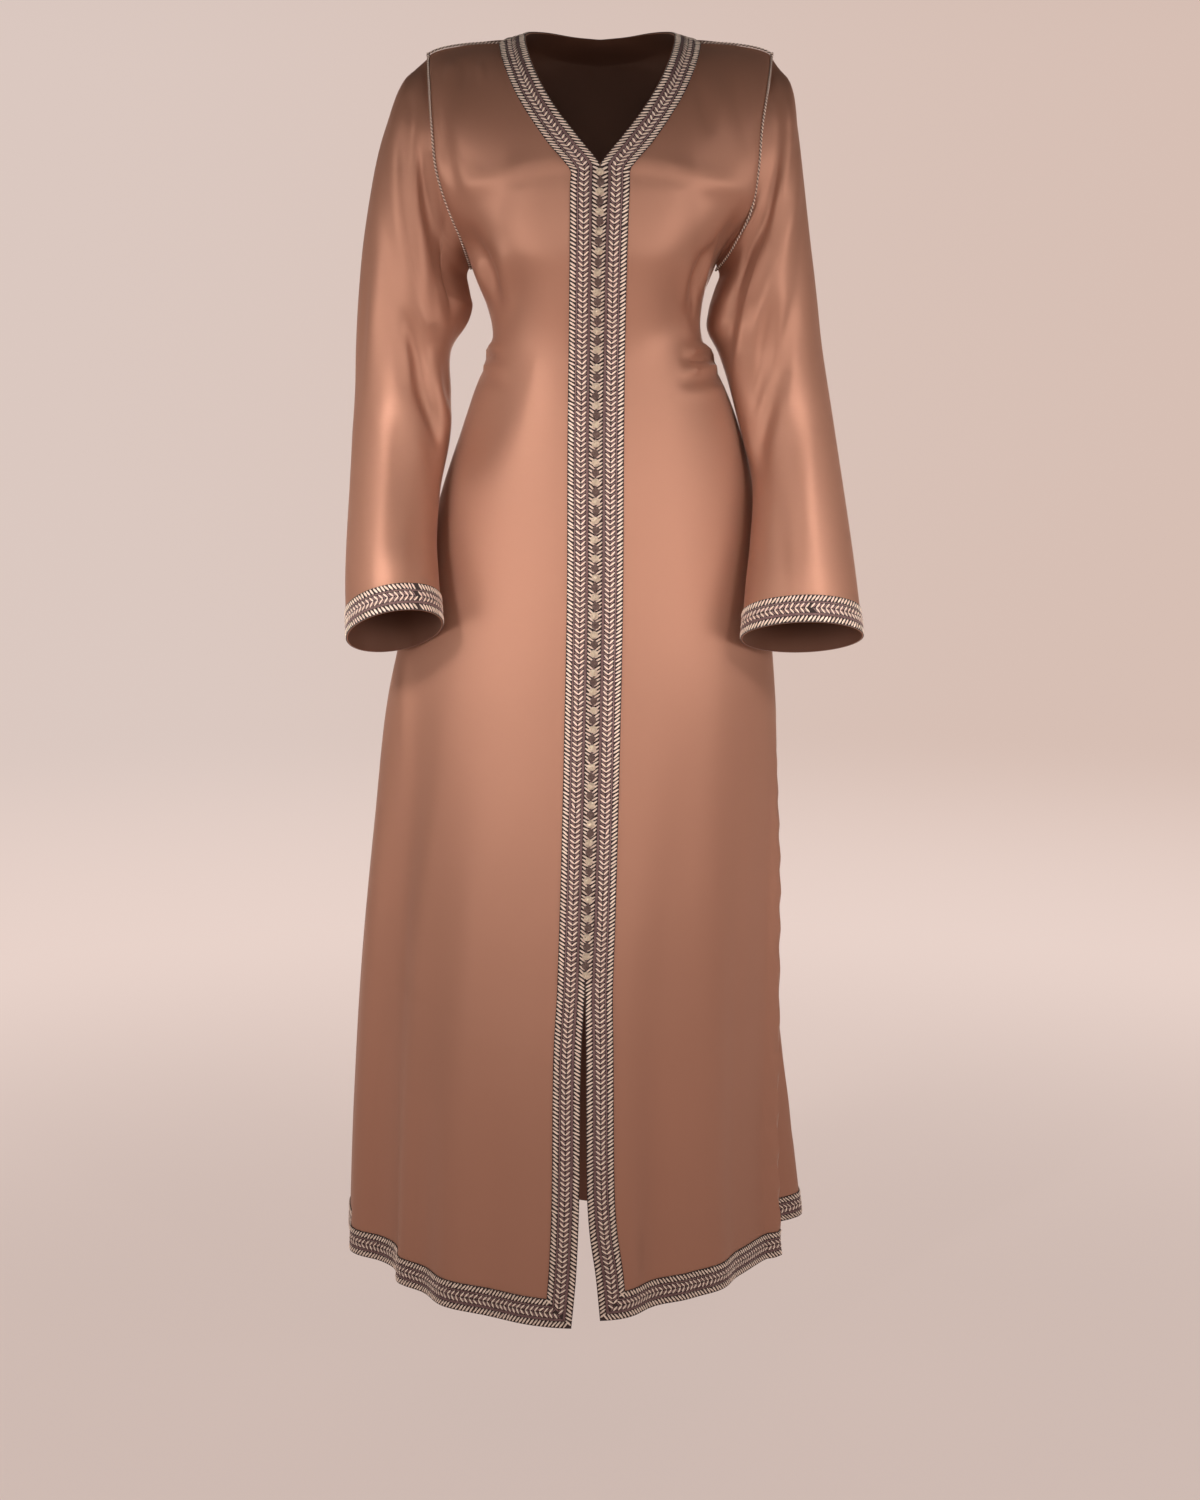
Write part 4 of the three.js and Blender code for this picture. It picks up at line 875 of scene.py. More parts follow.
# Angles in degrees from which the edges of the cloth, the braid and the cords are sharp
CLOTH_CORNER = 50
BRAID_CORNER = 60
CORD_CORNER = 70


def deselect():
    """Leaves nothing selected, so that an operator acts on the new piece alone."""
    bpy.ops.object.select_all(action="DESELECT")


def new_object(name, places, faces, uv=None, slots=None):
    """A mesh object from places in millimetres, with an optional UV map and material numbers."""
    mesh = bpy.data.meshes.new(name)
    mesh.from_pydata((np.asarray(places) * MM).tolist(), [], faces)
    if uv is not None:
        layer = mesh.uv_layers.new(name="Cloth")
        layer.data.foreach_set("uv", np.asarray(uv, np.float32).ravel())
    if slots is not None:
        mesh.polygons.foreach_set("material_index", np.asarray(slots, np.int32))
    mesh.validate()
    piece = bpy.data.objects.new(name, mesh)
    bpy.context.scene.collection.objects.link(piece)
    return piece


def select_only(piece):
    """Selects one piece alone and makes it the active one."""
    deselect()
    piece.select_set(True)
    bpy.context.view_layer.objects.active = piece


def shade(piece, degrees):
    """Smooth shading, with sharp edges where faces meet at more than an angle."""
    select_only(piece)
    bpy.ops.object.shade_smooth_by_angle(angle=math.radians(degrees))


def settle(piece, slot, *nodes):
    """Hands a finished piece to the frame: its body and the solids it stands for. Its material slot is not
    used.
    """
    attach(piece, "root")
    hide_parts(*nodes)


def cloth_object(name, cloth, wall):
    """A piece of cloth with its thickness: outer faces, inner faces and the edges between them."""
    count = len(cloth.place)
    inner = cloth.place - cloth.out * wall
    faces = []
    uv = []
    slots = []
    for corners, at in zip(cloth.faces.tolist(), cloth.uv.tolist()):
        keep = [k for k in range(4) if corners[k] != corners[k - 1]]
        if len(keep) < 3:
            continue
        outside = [corners[k] for k in keep]
        where = [at[k] for k in keep]
        faces.append(outside)
        uv.extend(where)
        slots.append(0)
        faces.append([c + count for c in outside[::-1]])
        uv.extend(where[::-1])
        slots.append(1)
    edges = {}
    for face, slot in zip(faces, slots):
        if slot == 0:
            for k, a in enumerate(face):
                b = face[(k + 1) % len(face)]
                if edges.pop((b, a), None) is None:
                    edges[(a, b)] = True
    for a, b in edges:
        faces.append([a, a + count, b + count, b])
        uv.extend([(0, 0)] * 4)
        slots.append(0)
    places = np.vstack([cloth.place, inner])
    piece = new_object(name, places, faces, np.array(uv) * MM, slots)
    shade(piece, CLOTH_CORNER)
    return piece


# Ribbons: strips of cloth under the braid, with their directions


class Ribbon:
    """A strip of cloth that a braid lies on. A point on it is given by how far it lies along, how far
    across from the braid's edge, and how high above the cloth, all in millimetres."""

    def __init__(self, place, out, closed=False):
        if closed:
            place = np.concatenate([place, place[:1]])
            out = np.concatenate([out, out[:1]])
        self.place = place
        self.out = out
        self.closed = closed
        self.sums = distances(place[:, place.shape[1] // 2])
        self.length = self.sums[-1]

    def points(self, along, across, high):
        """Places of some points on the ribbon."""
        along = np.clip(along, 0, self.length)
        j = np.clip(np.searchsorted(self.sums, along, side="right") - 1, 0, len(self.sums) - 2)
        t = (along - self.sums[j]) / (self.sums[j + 1] - self.sums[j])
        cells = self.place.shape[1] - 1
        where = np.clip(across / BRAID_WIDTH, 0, 1) * cells
        i = np.clip(where.astype(int), 0, cells - 1)
        s = where - i
        weights = [((1 - t) * (1 - s), j, i), ((1 - t) * s, j, i + 1)]
        weights += [(t * (1 - s), j + 1, i), (t * s, j + 1, i + 1)]
        place = sum(w[..., None] * self.place[a, b] for w, a, b in weights)
        out = unit(sum(w[..., None] * self.out[a, b] for w, a, b in weights))
        return place + out * np.asarray(high)[..., None]


def front_ribbons(name):
    """The ribbon from the shoulder down the neck and the opening, and the one along the hem."""
    cloth = garment()["front_" + name]
    main, neck = cloth.grids
    place, out = cloth.at(neck)
    down = Ribbon(place[::-1], out[::-1])
    band = BAND_COLUMNS + 1
    main_place, main_out = cloth.at(main)
    corner = np.concatenate([place[:band, :-1], main_place[:band]], axis=1)
    corner_out = np.concatenate([out[:band, :-1], main_out[:band]], axis=1)
    along = Ribbon(corner.transpose(1, 0, 2), corner_out.transpose(1, 0, 2))
    return down, along


def back_ribbon(part):
    """The ribbon round the back of the neck or along the back hem, from left to right."""
    cloth = garment()["back"]
    left_main, left_neck, right_main, right_neck = cloth.grids
    if part == "neck":
        left, left_out = cloth.at(left_neck)
        right, right_out = cloth.at(right_neck)
    else:
        band = BAND_COLUMNS + 1
        left, left_out = (a[:band].transpose(1, 0, 2) for a in cloth.at(left_main))
        right, right_out = (a[:band].transpose(1, 0, 2) for a in cloth.at(right_main))
    return Ribbon(np.concatenate([left[::-1], right[1:]]), np.concatenate([left_out[::-1], right_out[1:]]))


def cuff_ribbon(name):
    """The ribbon round a cuff, and how far along it the ends of its braid meet."""
    cloth = garment()["sleeve_" + name]
    place, out = (a[-BAND_COLUMNS - 1 :][::-1].transpose(1, 0, 2) for a in cloth.at(cloth.grids[0]))
    ribbon = Ribbon(place, out, closed=True)
    front = len(place) // 2
    nearest = np.argmin(np.abs(place[:front, BAND_COLUMNS // 2, 0] - CUFF_JOINS[name]))
    return ribbon, ribbon.sums[nearest]


# Braid


@functools.lru_cache(maxsize=None)
def stitch_shape():
    """One thread of the braid: a pointed half round, two long and two wide, one high. Its places and
    faces."""
    deselect()
    bpy.ops.mesh.primitive_uv_sphere_add(segments=6, ring_count=5, radius=1)
    thread = bpy.context.object
    bpy.ops.object.mode_set(mode="EDIT")
    bpy.ops.mesh.select_all(action="SELECT")
    bpy.ops.mesh.bisect(plane_co=(0, 0, 0), plane_no=(0, 1, 0), clear_inner=True, use_fill=True)
    bpy.ops.object.mode_set(mode="OBJECT")
    places = np.array([v.co for v in thread.data.vertices])[:, [2, 0, 1]]
    faces = [list(p.vertices) for p in thread.data.polygons]
    bpy.data.objects.remove(thread)
    return places, faces


def mitred(kind, along, across, length):
    """Which points lie on their own side of the mitre at the front corner of the hem."""
    if kind == "down":
        return length - along >= across
    if kind == "hem":
        return along >= across
    return np.ones(len(along), bool)


def stitches(ribbon, kind):
    """Threads along a ribbon: where each lies, which way it slants, how long and wide it is, how high it
    stands, and its colour number."""
    rows = []
    for band, start, end in BRAID_BANDS:
        if band == "line":
            continue
        made = STITCHES[band]
        middle = (start + end) / 2
        half = (end - start) / 2
        count = max(round(ribbon.length / made["pitch"]), 1)
        at = (np.arange(count) + 0.5) * ribbon.length / count
        colour = np.arange(count) % len(made["wide"])
        wide = np.array(made["wide"])[colour]
        high = np.array(made["high"])[colour]
        share = 1 / len(made["ways"])
        for way in made["ways"]:
            across = middle + way * half * (1 - share)
            long = math.hypot(half, half * made["lean"]) * share
            slant = math.atan2(way, -made["lean"])
            block = np.broadcast_arrays(at, across, slant, long, wide, high, colour)
            rows.append(np.stack(block, axis=1))
    rows = np.concatenate(rows)
    inside = rows[:, 0] < ribbon.length - RIBBON_MARGIN
    rows = rows[mitred(kind, rows[:, 0], rows[:, 1], ribbon.length) & inside]
    uneven = np.random.default_rng(7)
    rows[:, 0] += uneven.normal(0, UNEVEN_ALONG, len(rows))
    rows[:, 1] += uneven.normal(0, UNEVEN_ACROSS, len(rows))
    rows[:, 2] += uneven.normal(0, UNEVEN_SLANT, len(rows))
    rows[:, 5] *= uneven.uniform(*UNEVEN_HEIGHT, len(rows))
    return rows


def braid_parts(ribbon, kind, join=None):
    """Ground, lines and threads of the braid on one ribbon: blocks of places, faces and colours. A join
    is a place along it where the threads stop on both sides."""
    blocks = []
    steps = max(round(ribbon.length / CELL), 2)
    along = np.linspace(0, ribbon.length, steps + 1)
    profile = [(0.0, BRAID_BOTTOM), (0.0, BRAID_GROUND)]
    profile += [(t, BRAID_GROUND) for t in np.linspace(BRAID_EDGE, BRAID_WIDTH - BRAID_EDGE, 5)]
    profile += [(BRAID_WIDTH, BRAID_GROUND), (BRAID_WIDTH, BRAID_BOTTOM)]
    across = np.array([p[0] for p in profile])
    high = np.array([p[1] for p in profile])
    blocks.append(strip(ribbon, kind, along, across, high, 2))
    for band, start, end in BRAID_BANDS:
        if band == "line":
            wide = (end - start) / 2
            angle = np.linspace(0, math.pi, 5)
            across = (start + end) / 2 - wide * np.cos(angle)
            high = BRAID_GROUND - LINE_SINK + LINE_HEIGHT * np.sin(angle)
            blocks.append(strip(ribbon, kind, along, across, high, 1))
    shape, faces = stitch_shape()
    rows = stitches(ribbon, kind)
    if join is not None:
        rows = rows[np.abs(rows[:, 0] - join) > JOIN_GAP]
    at, where, angle, length, width, height, colour = rows.T[:, :, None]
    x = shape[:, 0] * length
    y = shape[:, 1] * width
    place_along = at + x * np.cos(angle) - y * np.sin(angle)
    place_across = where + x * np.sin(angle) + y * np.cos(angle)
    raised = BRAID_GROUND - STITCH_SINK + shape[:, 2] * height
    if ribbon.closed:
        place_along = place_along % ribbon.length
    places = ribbon.points(place_along, place_across, raised).reshape(-1, 3)
    size = len(shape)
    every = [[c + k * size for c in face] for k in range(len(rows)) for face in faces]
    colours = np.repeat(colour[:, 0].astype(int), len(faces))
    blocks.append((places, every, colours))
    return blocks


def strip(ribbon, kind, along, across, high, colour):
    """A closed strip along a ribbon with the given section."""
    a, w = np.meshgrid(along, across, indexing="ij")
    if kind == "down":
        a = np.minimum(a, ribbon.length - w)
    elif kind == "hem":
        a = np.maximum(a, w)
    h = np.broadcast_to(high, a.shape)
    places = ribbon.points(a, w, h).reshape(-1, 3)
    m = len(across)
    faces = []
    rows = len(along) - 1
    for j in range(rows):
        nearer = j * m
        further = ((j + 1) % rows if ribbon.closed else j + 1) * m
        for i in range(m):
            k = (i + 1) % m
            faces.append([nearer + i, further + i, further + k, nearer + k])
    if not ribbon.closed:
        faces.append(list(range(m)))
        faces.append([rows * m + i for i in range(m)][::-1])
    return places, faces, np.full(len(faces), colour)


def join_blocks(blocks):
    """Blocks of places, faces and colours as one."""
    places = []
    faces = []
    colours = []
    start = 0
    for block, own, colour in blocks:
        places.append(block)
        faces.extend([c + start for c in face] for face in own)
        colours.append(colour)
        start += len(block)
    return np.concatenate(places), faces, np.concatenate(colours)


def braid_object(name, ribbons, materials):
    """One piece of braid on one or more ribbons."""
    blocks = [block for ribbon in ribbons for block in braid_parts(*ribbon)]
    places, faces, colours = join_blocks(blocks)
    piece = new_object(name, places, faces, None, colours)
    select_only(piece)
    bpy.ops.object.mode_set(mode="EDIT")
    bpy.ops.mesh.select_all(action="SELECT")
    bpy.ops.mesh.normals_make_consistent(inside=False)
    bpy.ops.object.mode_set(mode="OBJECT")
    shade(piece, BRAID_CORNER)
    for material in materials:
        piece.data.materials.append(material)
    return piece


# Materials

# Scales of the satin's clouding, of its faint unevenness and of its warp threads, with depths of the bumps
CLOUD_SCALE = 5.0
UNEVEN_SCALE = 26.0
UNEVEN_DEPTH = 0.0006
WARP_SCALE = (240, 1400, 1)
WARP_DEPTH = 0.00012

# The same for the braid's and the cords' thread: patches of colour, and its fine twist
PATCH_SCALE = 420.0
TWIST_SCALE = 2600.0
TWIST_DEPTH = 0.0002

# Darker ends of the clouding as shares of a colour, and of each thread that has no setting for it
OUTSIDE_SHADE = 0.9
INSIDE_SHADE = 0.85
GROUND_SHADE = (0.02, 0.009, 0.008)
BUTTON_SHADE = (0.55, 0.43, 0.33)
KNOT_SHADE = (0.08, 0.042, 0.034)


def nodes_of(name):
    """A new material with its shader, its nodes and its links."""
    material = bpy.data.materials.new(name)
    material.use_nodes = True
    tree = material.node_tree
    return material, tree.nodes["Principled BSDF"], tree.nodes, tree.links


def mixed_colour(nodes, links, factor, low, high):
    """A colour that runs from one to another with a factor."""
    ramp = nodes.new("ShaderNodeMix")
    ramp.data_type = "RGBA"
    ramp.inputs[6].default_value = (*low, 1)
    ramp.inputs[7].default_value = (*high, 1)
    links.new(factor, ramp.inputs[0])
    return ramp.outputs[2]


def noise(nodes, links, vector, scale, detail=3.0, roughness=0.5):
    """A noise on the given coordinates."""
    texture = nodes.new("ShaderNodeTexNoise")
    texture.inputs["Scale"].default_value = scale
    texture.inputs["Detail"].default_value = detail
    texture.inputs["Roughness"].default_value = roughness
    links.new(vector, texture.inputs["Vector"])
    return texture.outputs["Fac"]


def bump(nodes, links, height, distance, strength, below=None):
    """A bump from a height, on top of another one if there is one."""
    made = nodes.new("ShaderNodeBump")
    made.inputs["Distance"].default_value = distance
    made.inputs["Strength"].default_value = strength
    links.new(height, made.inputs["Height"])
    if below is not None:
        links.new(below, made.inputs["Normal"])
    return made.outputs["Normal"]


def satin_material(name, dark, light, roughness, gloss):
    """Satin: fine warp threads across a smooth cloth, with slight clouding. Its gloss has its colour."""
    material, shader, nodes, links = nodes_of(name)
    coords = nodes.new("ShaderNodeTexCoord")
    cloud = noise(nodes, links, coords.outputs["Object"], CLOUD_SCALE, 4.0)
    stretched = nodes.new("ShaderNodeMapping")
    stretched.inputs["Scale"].default_value = WARP_SCALE
    links.new(coords.outputs["UV"], stretched.inputs["Vector"])
    threads = noise(nodes, links, stretched.outputs["Vector"], 1.0, 2.0)
    links.new(mixed_colour(nodes, links, cloud, dark, light), shader.inputs["Base Color"])
    uneven = noise(nodes, links, coords.outputs["Object"], UNEVEN_SCALE, 2.0)
    soft = bump(nodes, links, uneven, UNEVEN_DEPTH, 0.25)
    links.new(bump(nodes, links, threads, WARP_DEPTH, 0.35, soft), shader.inputs["Normal"])
    shader.inputs["Roughness"].default_value = roughness
    shader.inputs["Metallic"].default_value = gloss
    shader.inputs["Anisotropic"].default_value = 0.6
    shader.inputs["Specular Tint"].default_value = (1.0, 0.86, 0.76, 1)
    shader.inputs["Sheen Weight"].default_value = 0.08
    shader.inputs["Sheen Roughness"].default_value = 0.45
    shader.inputs["Sheen Tint"].default_value = (1.0, 0.75, 0.6, 1)
    return material


def thread_material(name, dark, light, roughness, metal):
    """Thread of the braid, cords and buttons: fine twist and uneven colour."""
    material, shader, nodes, links = nodes_of(name)
    coords = nodes.new("ShaderNodeTexCoord")
    patches = noise(nodes, links, coords.outputs["Object"], PATCH_SCALE, 2.0)
    fine = noise(nodes, links, coords.outputs["Object"], TWIST_SCALE, 2.0)
    links.new(mixed_colour(nodes, links, patches, dark, light), shader.inputs["Base Color"])
    links.new(bump(nodes, links, fine, TWIST_DEPTH, 0.4), shader.inputs["Normal"])
    shader.inputs["Roughness"].default_value = roughness
    shader.inputs["Metallic"].default_value = metal
    shader.inputs["Sheen Weight"].default_value = 0.15
    return material


@functools.lru_cache(maxsize=None)
def finishes():
    """The materials of the garment, made once from the panel's colours."""
    cloth = bpy.context.scene.kaftan_cloth
    trim = bpy.context.scene.kaftan_trim
    deep = [OUTSIDE_SHADE * c for c in cloth.colour]
    shaded = [INSIDE_SHADE * c for c in cloth.inside_shaded_colour]
    return {
        "satin": satin_material("satin", deep, cloth.colour, cloth.roughness, 0.4),
        # The inside's colour is darker than the right side's: painted shade for the shade inside the garment
        "satin_inside_shaded": satin_material("satin_inside_shaded", shaded, cloth.inside_shaded_colour, 0.62, 0.2),
        "pale": thread_material("pale_thread", trim.pale_shade, trim.pale_colour, 0.45, 0.12),
        "mauve": thread_material("mauve_thread", trim.mauve_shade, trim.mauve_colour, 0.5, 0.1),
        "ground": thread_material("braid_ground", GROUND_SHADE, trim.ground_colour, 0.8, 0.0),
        "button": thread_material("button_thread", BUTTON_SHADE, trim.button_colour, 0.45, 0.3),
        "knot": thread_material("knot_thread", KNOT_SHADE, trim.knot_colour, 0.6, 0.05),
    }


# Cords

# Piping: how far it stands off the cloth at the armholes and the shoulders, about how many rows or columns
# away the slope beside a seam is taken, the least sine of that slope, and over how many points each way the
# rise spreads and softens
ARMHOLE_LIFT = 0.3
SHOULDER_LIFT = 0.2
SLOPE_ROWS = 3
LEAST_SINE = 0.2
RISE_REACH = 2
RISE_SOFTNESS = 3


def frames_along(places, outs, closed):
    """Directions across and away from the cloth at each point of a cord."""
    if closed:
        ahead = np.roll(places, -1, axis=0) - np.roll(places, 1, axis=0)
    else:
        ahead = np.gradient(places, axis=0)
    along = unit(ahead)
    across = unit(np.cross(along, outs))
    return across, np.cross(across, along)


def tube(places, across, up, radius, sides, closed):
    """Round tube along places."""
    angle = 2 * math.pi * np.arange(sides) / sides
    ring = across[:, None] * np.cos(angle)[None, :, None] + up[:, None] * np.sin(angle)[None, :, None]
    points = (places[:, None] + radius * ring).reshape(-1, 3)
    count = len(places)
    faces = []
    for j in range(count if closed else count - 1):
        nearer = j * sides
        further = (j + 1) % count * sides
        for i in range(sides):
            k = (i + 1) % sides
            faces.append([nearer + i, nearer + k, further + k, further + i])
    if not closed:
        faces.append(list(range(sides))[::-1])
        faces.append([(count - 1) * sides + i for i in range(sides)])
    return points, faces


def twisted_cord(places, outs, radius, pitch, closed):
    """Two threads twisted round each other, as places and faces."""
    loop = np.vstack([places, places[:1]]) if closed else places
    directions = np.vstack([outs, outs[:1]]) if closed else outs
    sums = distances(loop)
    turns = max(round(sums[-1] / pitch), 1)
    at = np.linspace(0, sums[-1], turns * TURN_PARTS + 1)
    if closed:
        at = at[:-1]
    path = np.stack([np.interp(at, sums, loop[:, k]) for k in range(3)], axis=1)
    out = unit(np.stack([np.interp(at, sums, directions[:, k]) for k in range(3)], axis=1))
    across, up = frames_along(path, out, closed)
    blocks = []
    for ply in (0, 1):
        turn = 2 * math.pi * turns * at / sums[-1] + math.pi * ply
        swing = across * np.cos(turn)[:, None] + up * np.sin(turn)[:, None]
        middle = path + swing * radius * PLY_SWING
        points, faces = tube(middle, across, up, radius * PLY_SIZE, PLY_SIDES, closed)
        blocks.append((points, faces, np.full(len(faces), ply)))
    return join_blocks(blocks)


def cord_object(name, parts, *materials):
    """A cord from places and faces."""
    places, faces, colours = parts
    piece = new_object(name, places, faces, None, colours)
    shade(piece, CORD_CORNER)
    for material in materials:
        piece.data.materials.append(material)
    return piece


def armhole_path(name):
    """Path of the piping round an armhole: further out where the body and the sleeve meet sharply."""
    sleeve = garment()["sleeve_" + name]
    front = garment()["front_" + name]
    back = garment()["back"]
    main_back = back.grids[0 if name == "left" else 2]
    seam, out = (a[0] for a in sleeve.at(sleeve.grids[0]))
    ring = sleeve.at(sleeve.grids[0])[0][SLOPE_ROWS]
    front_place = front.at(front.grids[0])[0]
    back_place = back.at(main_back)[0]
    front_line = front_place[LOWER_ROWS:, -SLOPE_ROWS][::-1]
    body = np.vstack([front_line, back_place[LOWER_ROWS + 1 : -1, -SLOPE_ROWS]])
    body[UPPER_ROWS] = front_place[LOWER_ROWS - SLOPE_ROWS, -1]
    need = np.zeros(len(seam))
    for beside in (body, ring):
        lean = (unit(beside - seam) * out).sum(1)
        sine = np.sqrt(np.clip(1 - np.maximum(lean, 0) ** 2, LEAST_SINE**2, 1))
        need = np.maximum(need, (PIPING_RADIUS + ARMHOLE_LIFT) / sine)
    rise = np.maximum.reduce([np.roll(need, k) for k in range(-RISE_REACH, RISE_REACH + 1)])
    near = range(-RISE_SOFTNESS, RISE_SOFTNESS + 1)
    rise = sum(np.roll(rise, k) for k in near) / len(near)
    return seam + out * rise[:, None], out


def shoulder_path(name):
    """Path of the piping on a shoulder seam."""
    front = garment()["front_" + name]
    place, out = front.at(front.grids[0])
    lifted = place[-1] + out[-1] * (PIPING_RADIUS + SHOULDER_LIFT)
    return lifted[:-1], out[-1][:-1]


# Buttons and knots


def opening_at(z):
    """Place on the closed opening at level z, and the direction out of the cloth there."""
    places = []
    outs = []
    for name, _ in SIDES:
        cloth = garment()["front_" + name]
        place, out = cloth.at(cloth.grids[1])
        levels = place[:, 0, 2]
        places.append([np.interp(z, levels, place[:, 0, k]) for k in range(3)])
        outs.append([np.interp(z, levels, out[:, 0, k]) for k in range(3)])
    return np.mean(places, axis=0), unit(np.mean(outs, axis=0))


def knot_shape(radius, turns, waves, thickness):
    """A ball of cord wound round a core: the cord goes round some turns while it waves up and down."""
    t = np.linspace(0, 2 * math.pi, WINDING_PARTS, endpoint=False)
    longitude = turns * t
    latitude = math.radians(WINDING_TOP) * np.sin(waves * t)
    reach = radius - thickness + 0.3 * thickness * np.cos(2 * waves * t + 0.6)
    flat = np.cos(latitude)
    out = np.stack([flat * np.cos(longitude), flat * np.sin(longitude), np.sin(latitude)], axis=1)
    path = out * reach[:, None]
    across, up = frames_along(path, out, True)
    return tube(path, across, up, thickness, WINDING_SIDES, True)


@functools.lru_cache(maxsize=None)
def core_shape():
    """The core of a knot, a ball of radius 1: its places and faces."""
    deselect()
    bpy.ops.mesh.primitive_ico_sphere_add(subdivisions=2, radius=1)
    ball = bpy.context.object
    places = np.array([v.co for v in ball.data.vertices])
    faces = [list(p.vertices) for p in ball.data.polygons]
    bpy.data.objects.remove(ball)
    return places, faces


def knot_parts(centre, radius, turns, waves, thickness, tilt):
    """A knotted ball at its place."""
    places, faces = knot_shape(radius, turns, waves, thickness)
    core, core_faces = core_shape()
    sine, cosine = math.sin(tilt), math.cos(tilt)
    turned = np.array([[1, 0, 0], [0, cosine, -sine], [0, sine, cosine]])
    blocks = [
        (places @ turned.T + centre, faces, np.zeros(len(faces), int)),
        (core * (radius - 1.3 * thickness) + centre, core_faces, np.zeros(len(core_faces), int)),
    ]
    return join_blocks(blocks)


# Panel settings


def colour_setting(name, description, default):
    """A colour in the panel."""
    return bpy.props.FloatVectorProperty(
        name=name, description=description, subtype="COLOR", default=default, min=0, max=1
    )


def number_setting(name, description, default, low, high, subtype="NONE"):
    """A number in the panel, with its limits."""
    return bpy.props.FloatProperty(
        name=name, description=description, subtype=subtype, default=default, min=low, max=high
    )


class KaftanCloth(bpy.types.PropertyGroup):
    """Thickness, colours and roughness of the satin."""

    wall: number_setting("Thickness", "Thickness of the satin in millimetres", 1.0, 0.2, 3.0)
    colour: colour_setting("Satin", "Colour of the satin's right side", (0.42, 0.2, 0.133))
    # The inside's colour is darkened below the right side's to paint the shade inside the garment
    inside_shaded_colour: colour_setting("Inside", "Colour of the satin's wrong side", (0.15, 0.06, 0.036))
    roughness: number_setting("Roughness", "How matt the satin is", 0.47, 0, 1, "FACTOR")


class KaftanTrim(bpy.types.PropertyGroup):
    """Sizes and colours of the braid, the cords and the buttons."""

    pale_colour: colour_setting("Pale thread", "Light colour of the pale metallic thread", (1.0, 0.84, 0.7))
    pale_shade: colour_setting("Pale shade", "Dark colour of the pale thread", (0.76, 0.58, 0.48))
    mauve_colour: colour_setting("Mauve thread", "Light colour of the mauve thread", (0.36, 0.2, 0.19))
    mauve_shade: colour_setting("Mauve shade", "Dark colour of the mauve thread", (0.14, 0.065, 0.07))
    ground_colour: colour_setting("Ground", "Colour of the braid under its threads", (0.05, 0.022, 0.02))
    button_colour: colour_setting("Buttons", "Colour of the pale knotted buttons", (0.84, 0.7, 0.54))
    knot_colour: colour_setting("Dark knots", "Colour of the knots between them", (0.2, 0.115, 0.095))
    twist: number_setting("Piping twist", "Length of one turn of the piping in millimetres", 4.2, 2, 10)
    button_radius: number_setting("Button radius", "Radius of a button in millimetres", 4.4, 2, 8)


class KaftanStage(bpy.types.PropertyGroup):
    """The floor and the light."""

    floor_level: bpy.props.FloatProperty(
        name="Floor level", description="Level of the floor", unit="LENGTH", default=-1.55
    )
    floor_colour: colour_setting("Floor", "Colour of the floor", (0.8, 0.64, 0.57))
    power: number_setting("Light", "Strength of all the lights", 1.0, 0, 10)


# Operators


class KAFTAN_OT_stage(bpy.types.Operator):
    """Add the camera, the floor and the lights"""

    bl_idname = "kaftan.stage"
    bl_label = "Stage"

    def execute(self, context):
        settings = context.scene.kaftan_stage
        place_camera()
        place_floor(settings.floor_level, settings.floor_colour)
        place_lights(settings.power)
        return {"FINISHED"}


class KAFTAN_OT_cloth(bpy.types.Operator):
    """Add the two fronts, the back and the two sleeves"""

    bl_idname = "kaftan.cloth"
    bl_label = "Satin"

    def execute(self, context):
        wall = context.scene.kaftan_cloth.wall
        materials = finishes()
        for name, cloth in garment().items():
            piece = cloth_object(name + "_satin", cloth, wall)
            piece.data.materials.append(materials["satin"])
            piece.data.materials.append(materials["satin_inside_shaded"])
            settle(piece, "satin", name)
        return {"FINISHED"}


class KAFTAN_OT_braid(bpy.types.Operator):
    """Add the braid on the fronts, the neck, the hem and the cuffs"""

    bl_idname = "kaftan.braid"
    bl_label = "Braid"

    def execute(self, context):
        made = finishes()
        threads = [made["pale"], made["mauve"], made["ground"]]
        pieces = {
            "braid_neck_back": [(back_ribbon("neck"), "plain")],
            "braid_hem_back": [(back_ribbon("hem"), "plain")],
        }
        for name, _ in SIDES:
            down, hem = front_ribbons(name)
            pieces["braid_front_" + name] = [(down, "down"), (hem, "hem")]
            ribbon, join = cuff_ribbon(name)
            pieces["braid_cuff_" + name] = [(ribbon, "plain", join)]
        for name, ribbons in pieces.items():
            piece = braid_object(name + "_woven", ribbons, threads)
            settle(piece, "braid", name)
        return {"FINISHED"}


class KAFTAN_OT_piping(bpy.types.Operator):
    """Add the twisted cord on the shoulder and armhole seams"""

    bl_idname = "kaftan.piping"
    bl_label = "Piping"

    def execute(self, context):
        twist = context.scene.kaftan_trim.twist
        plies = (finishes()["pale"], finishes()["knot"])
        for name, _ in SIDES:
            for seam, path, closed in (
                ("shoulder", shoulder_path(name), False),
                ("armhole", armhole_path(name), True),
            ):
                node = "piping_" + seam + "_" + name
                parts = twisted_cord(*path, PIPING_RADIUS, twist, closed)
                settle(cord_object(node + "_twisted", parts, *plies), "piping", node)
        return {"FINISHED"}


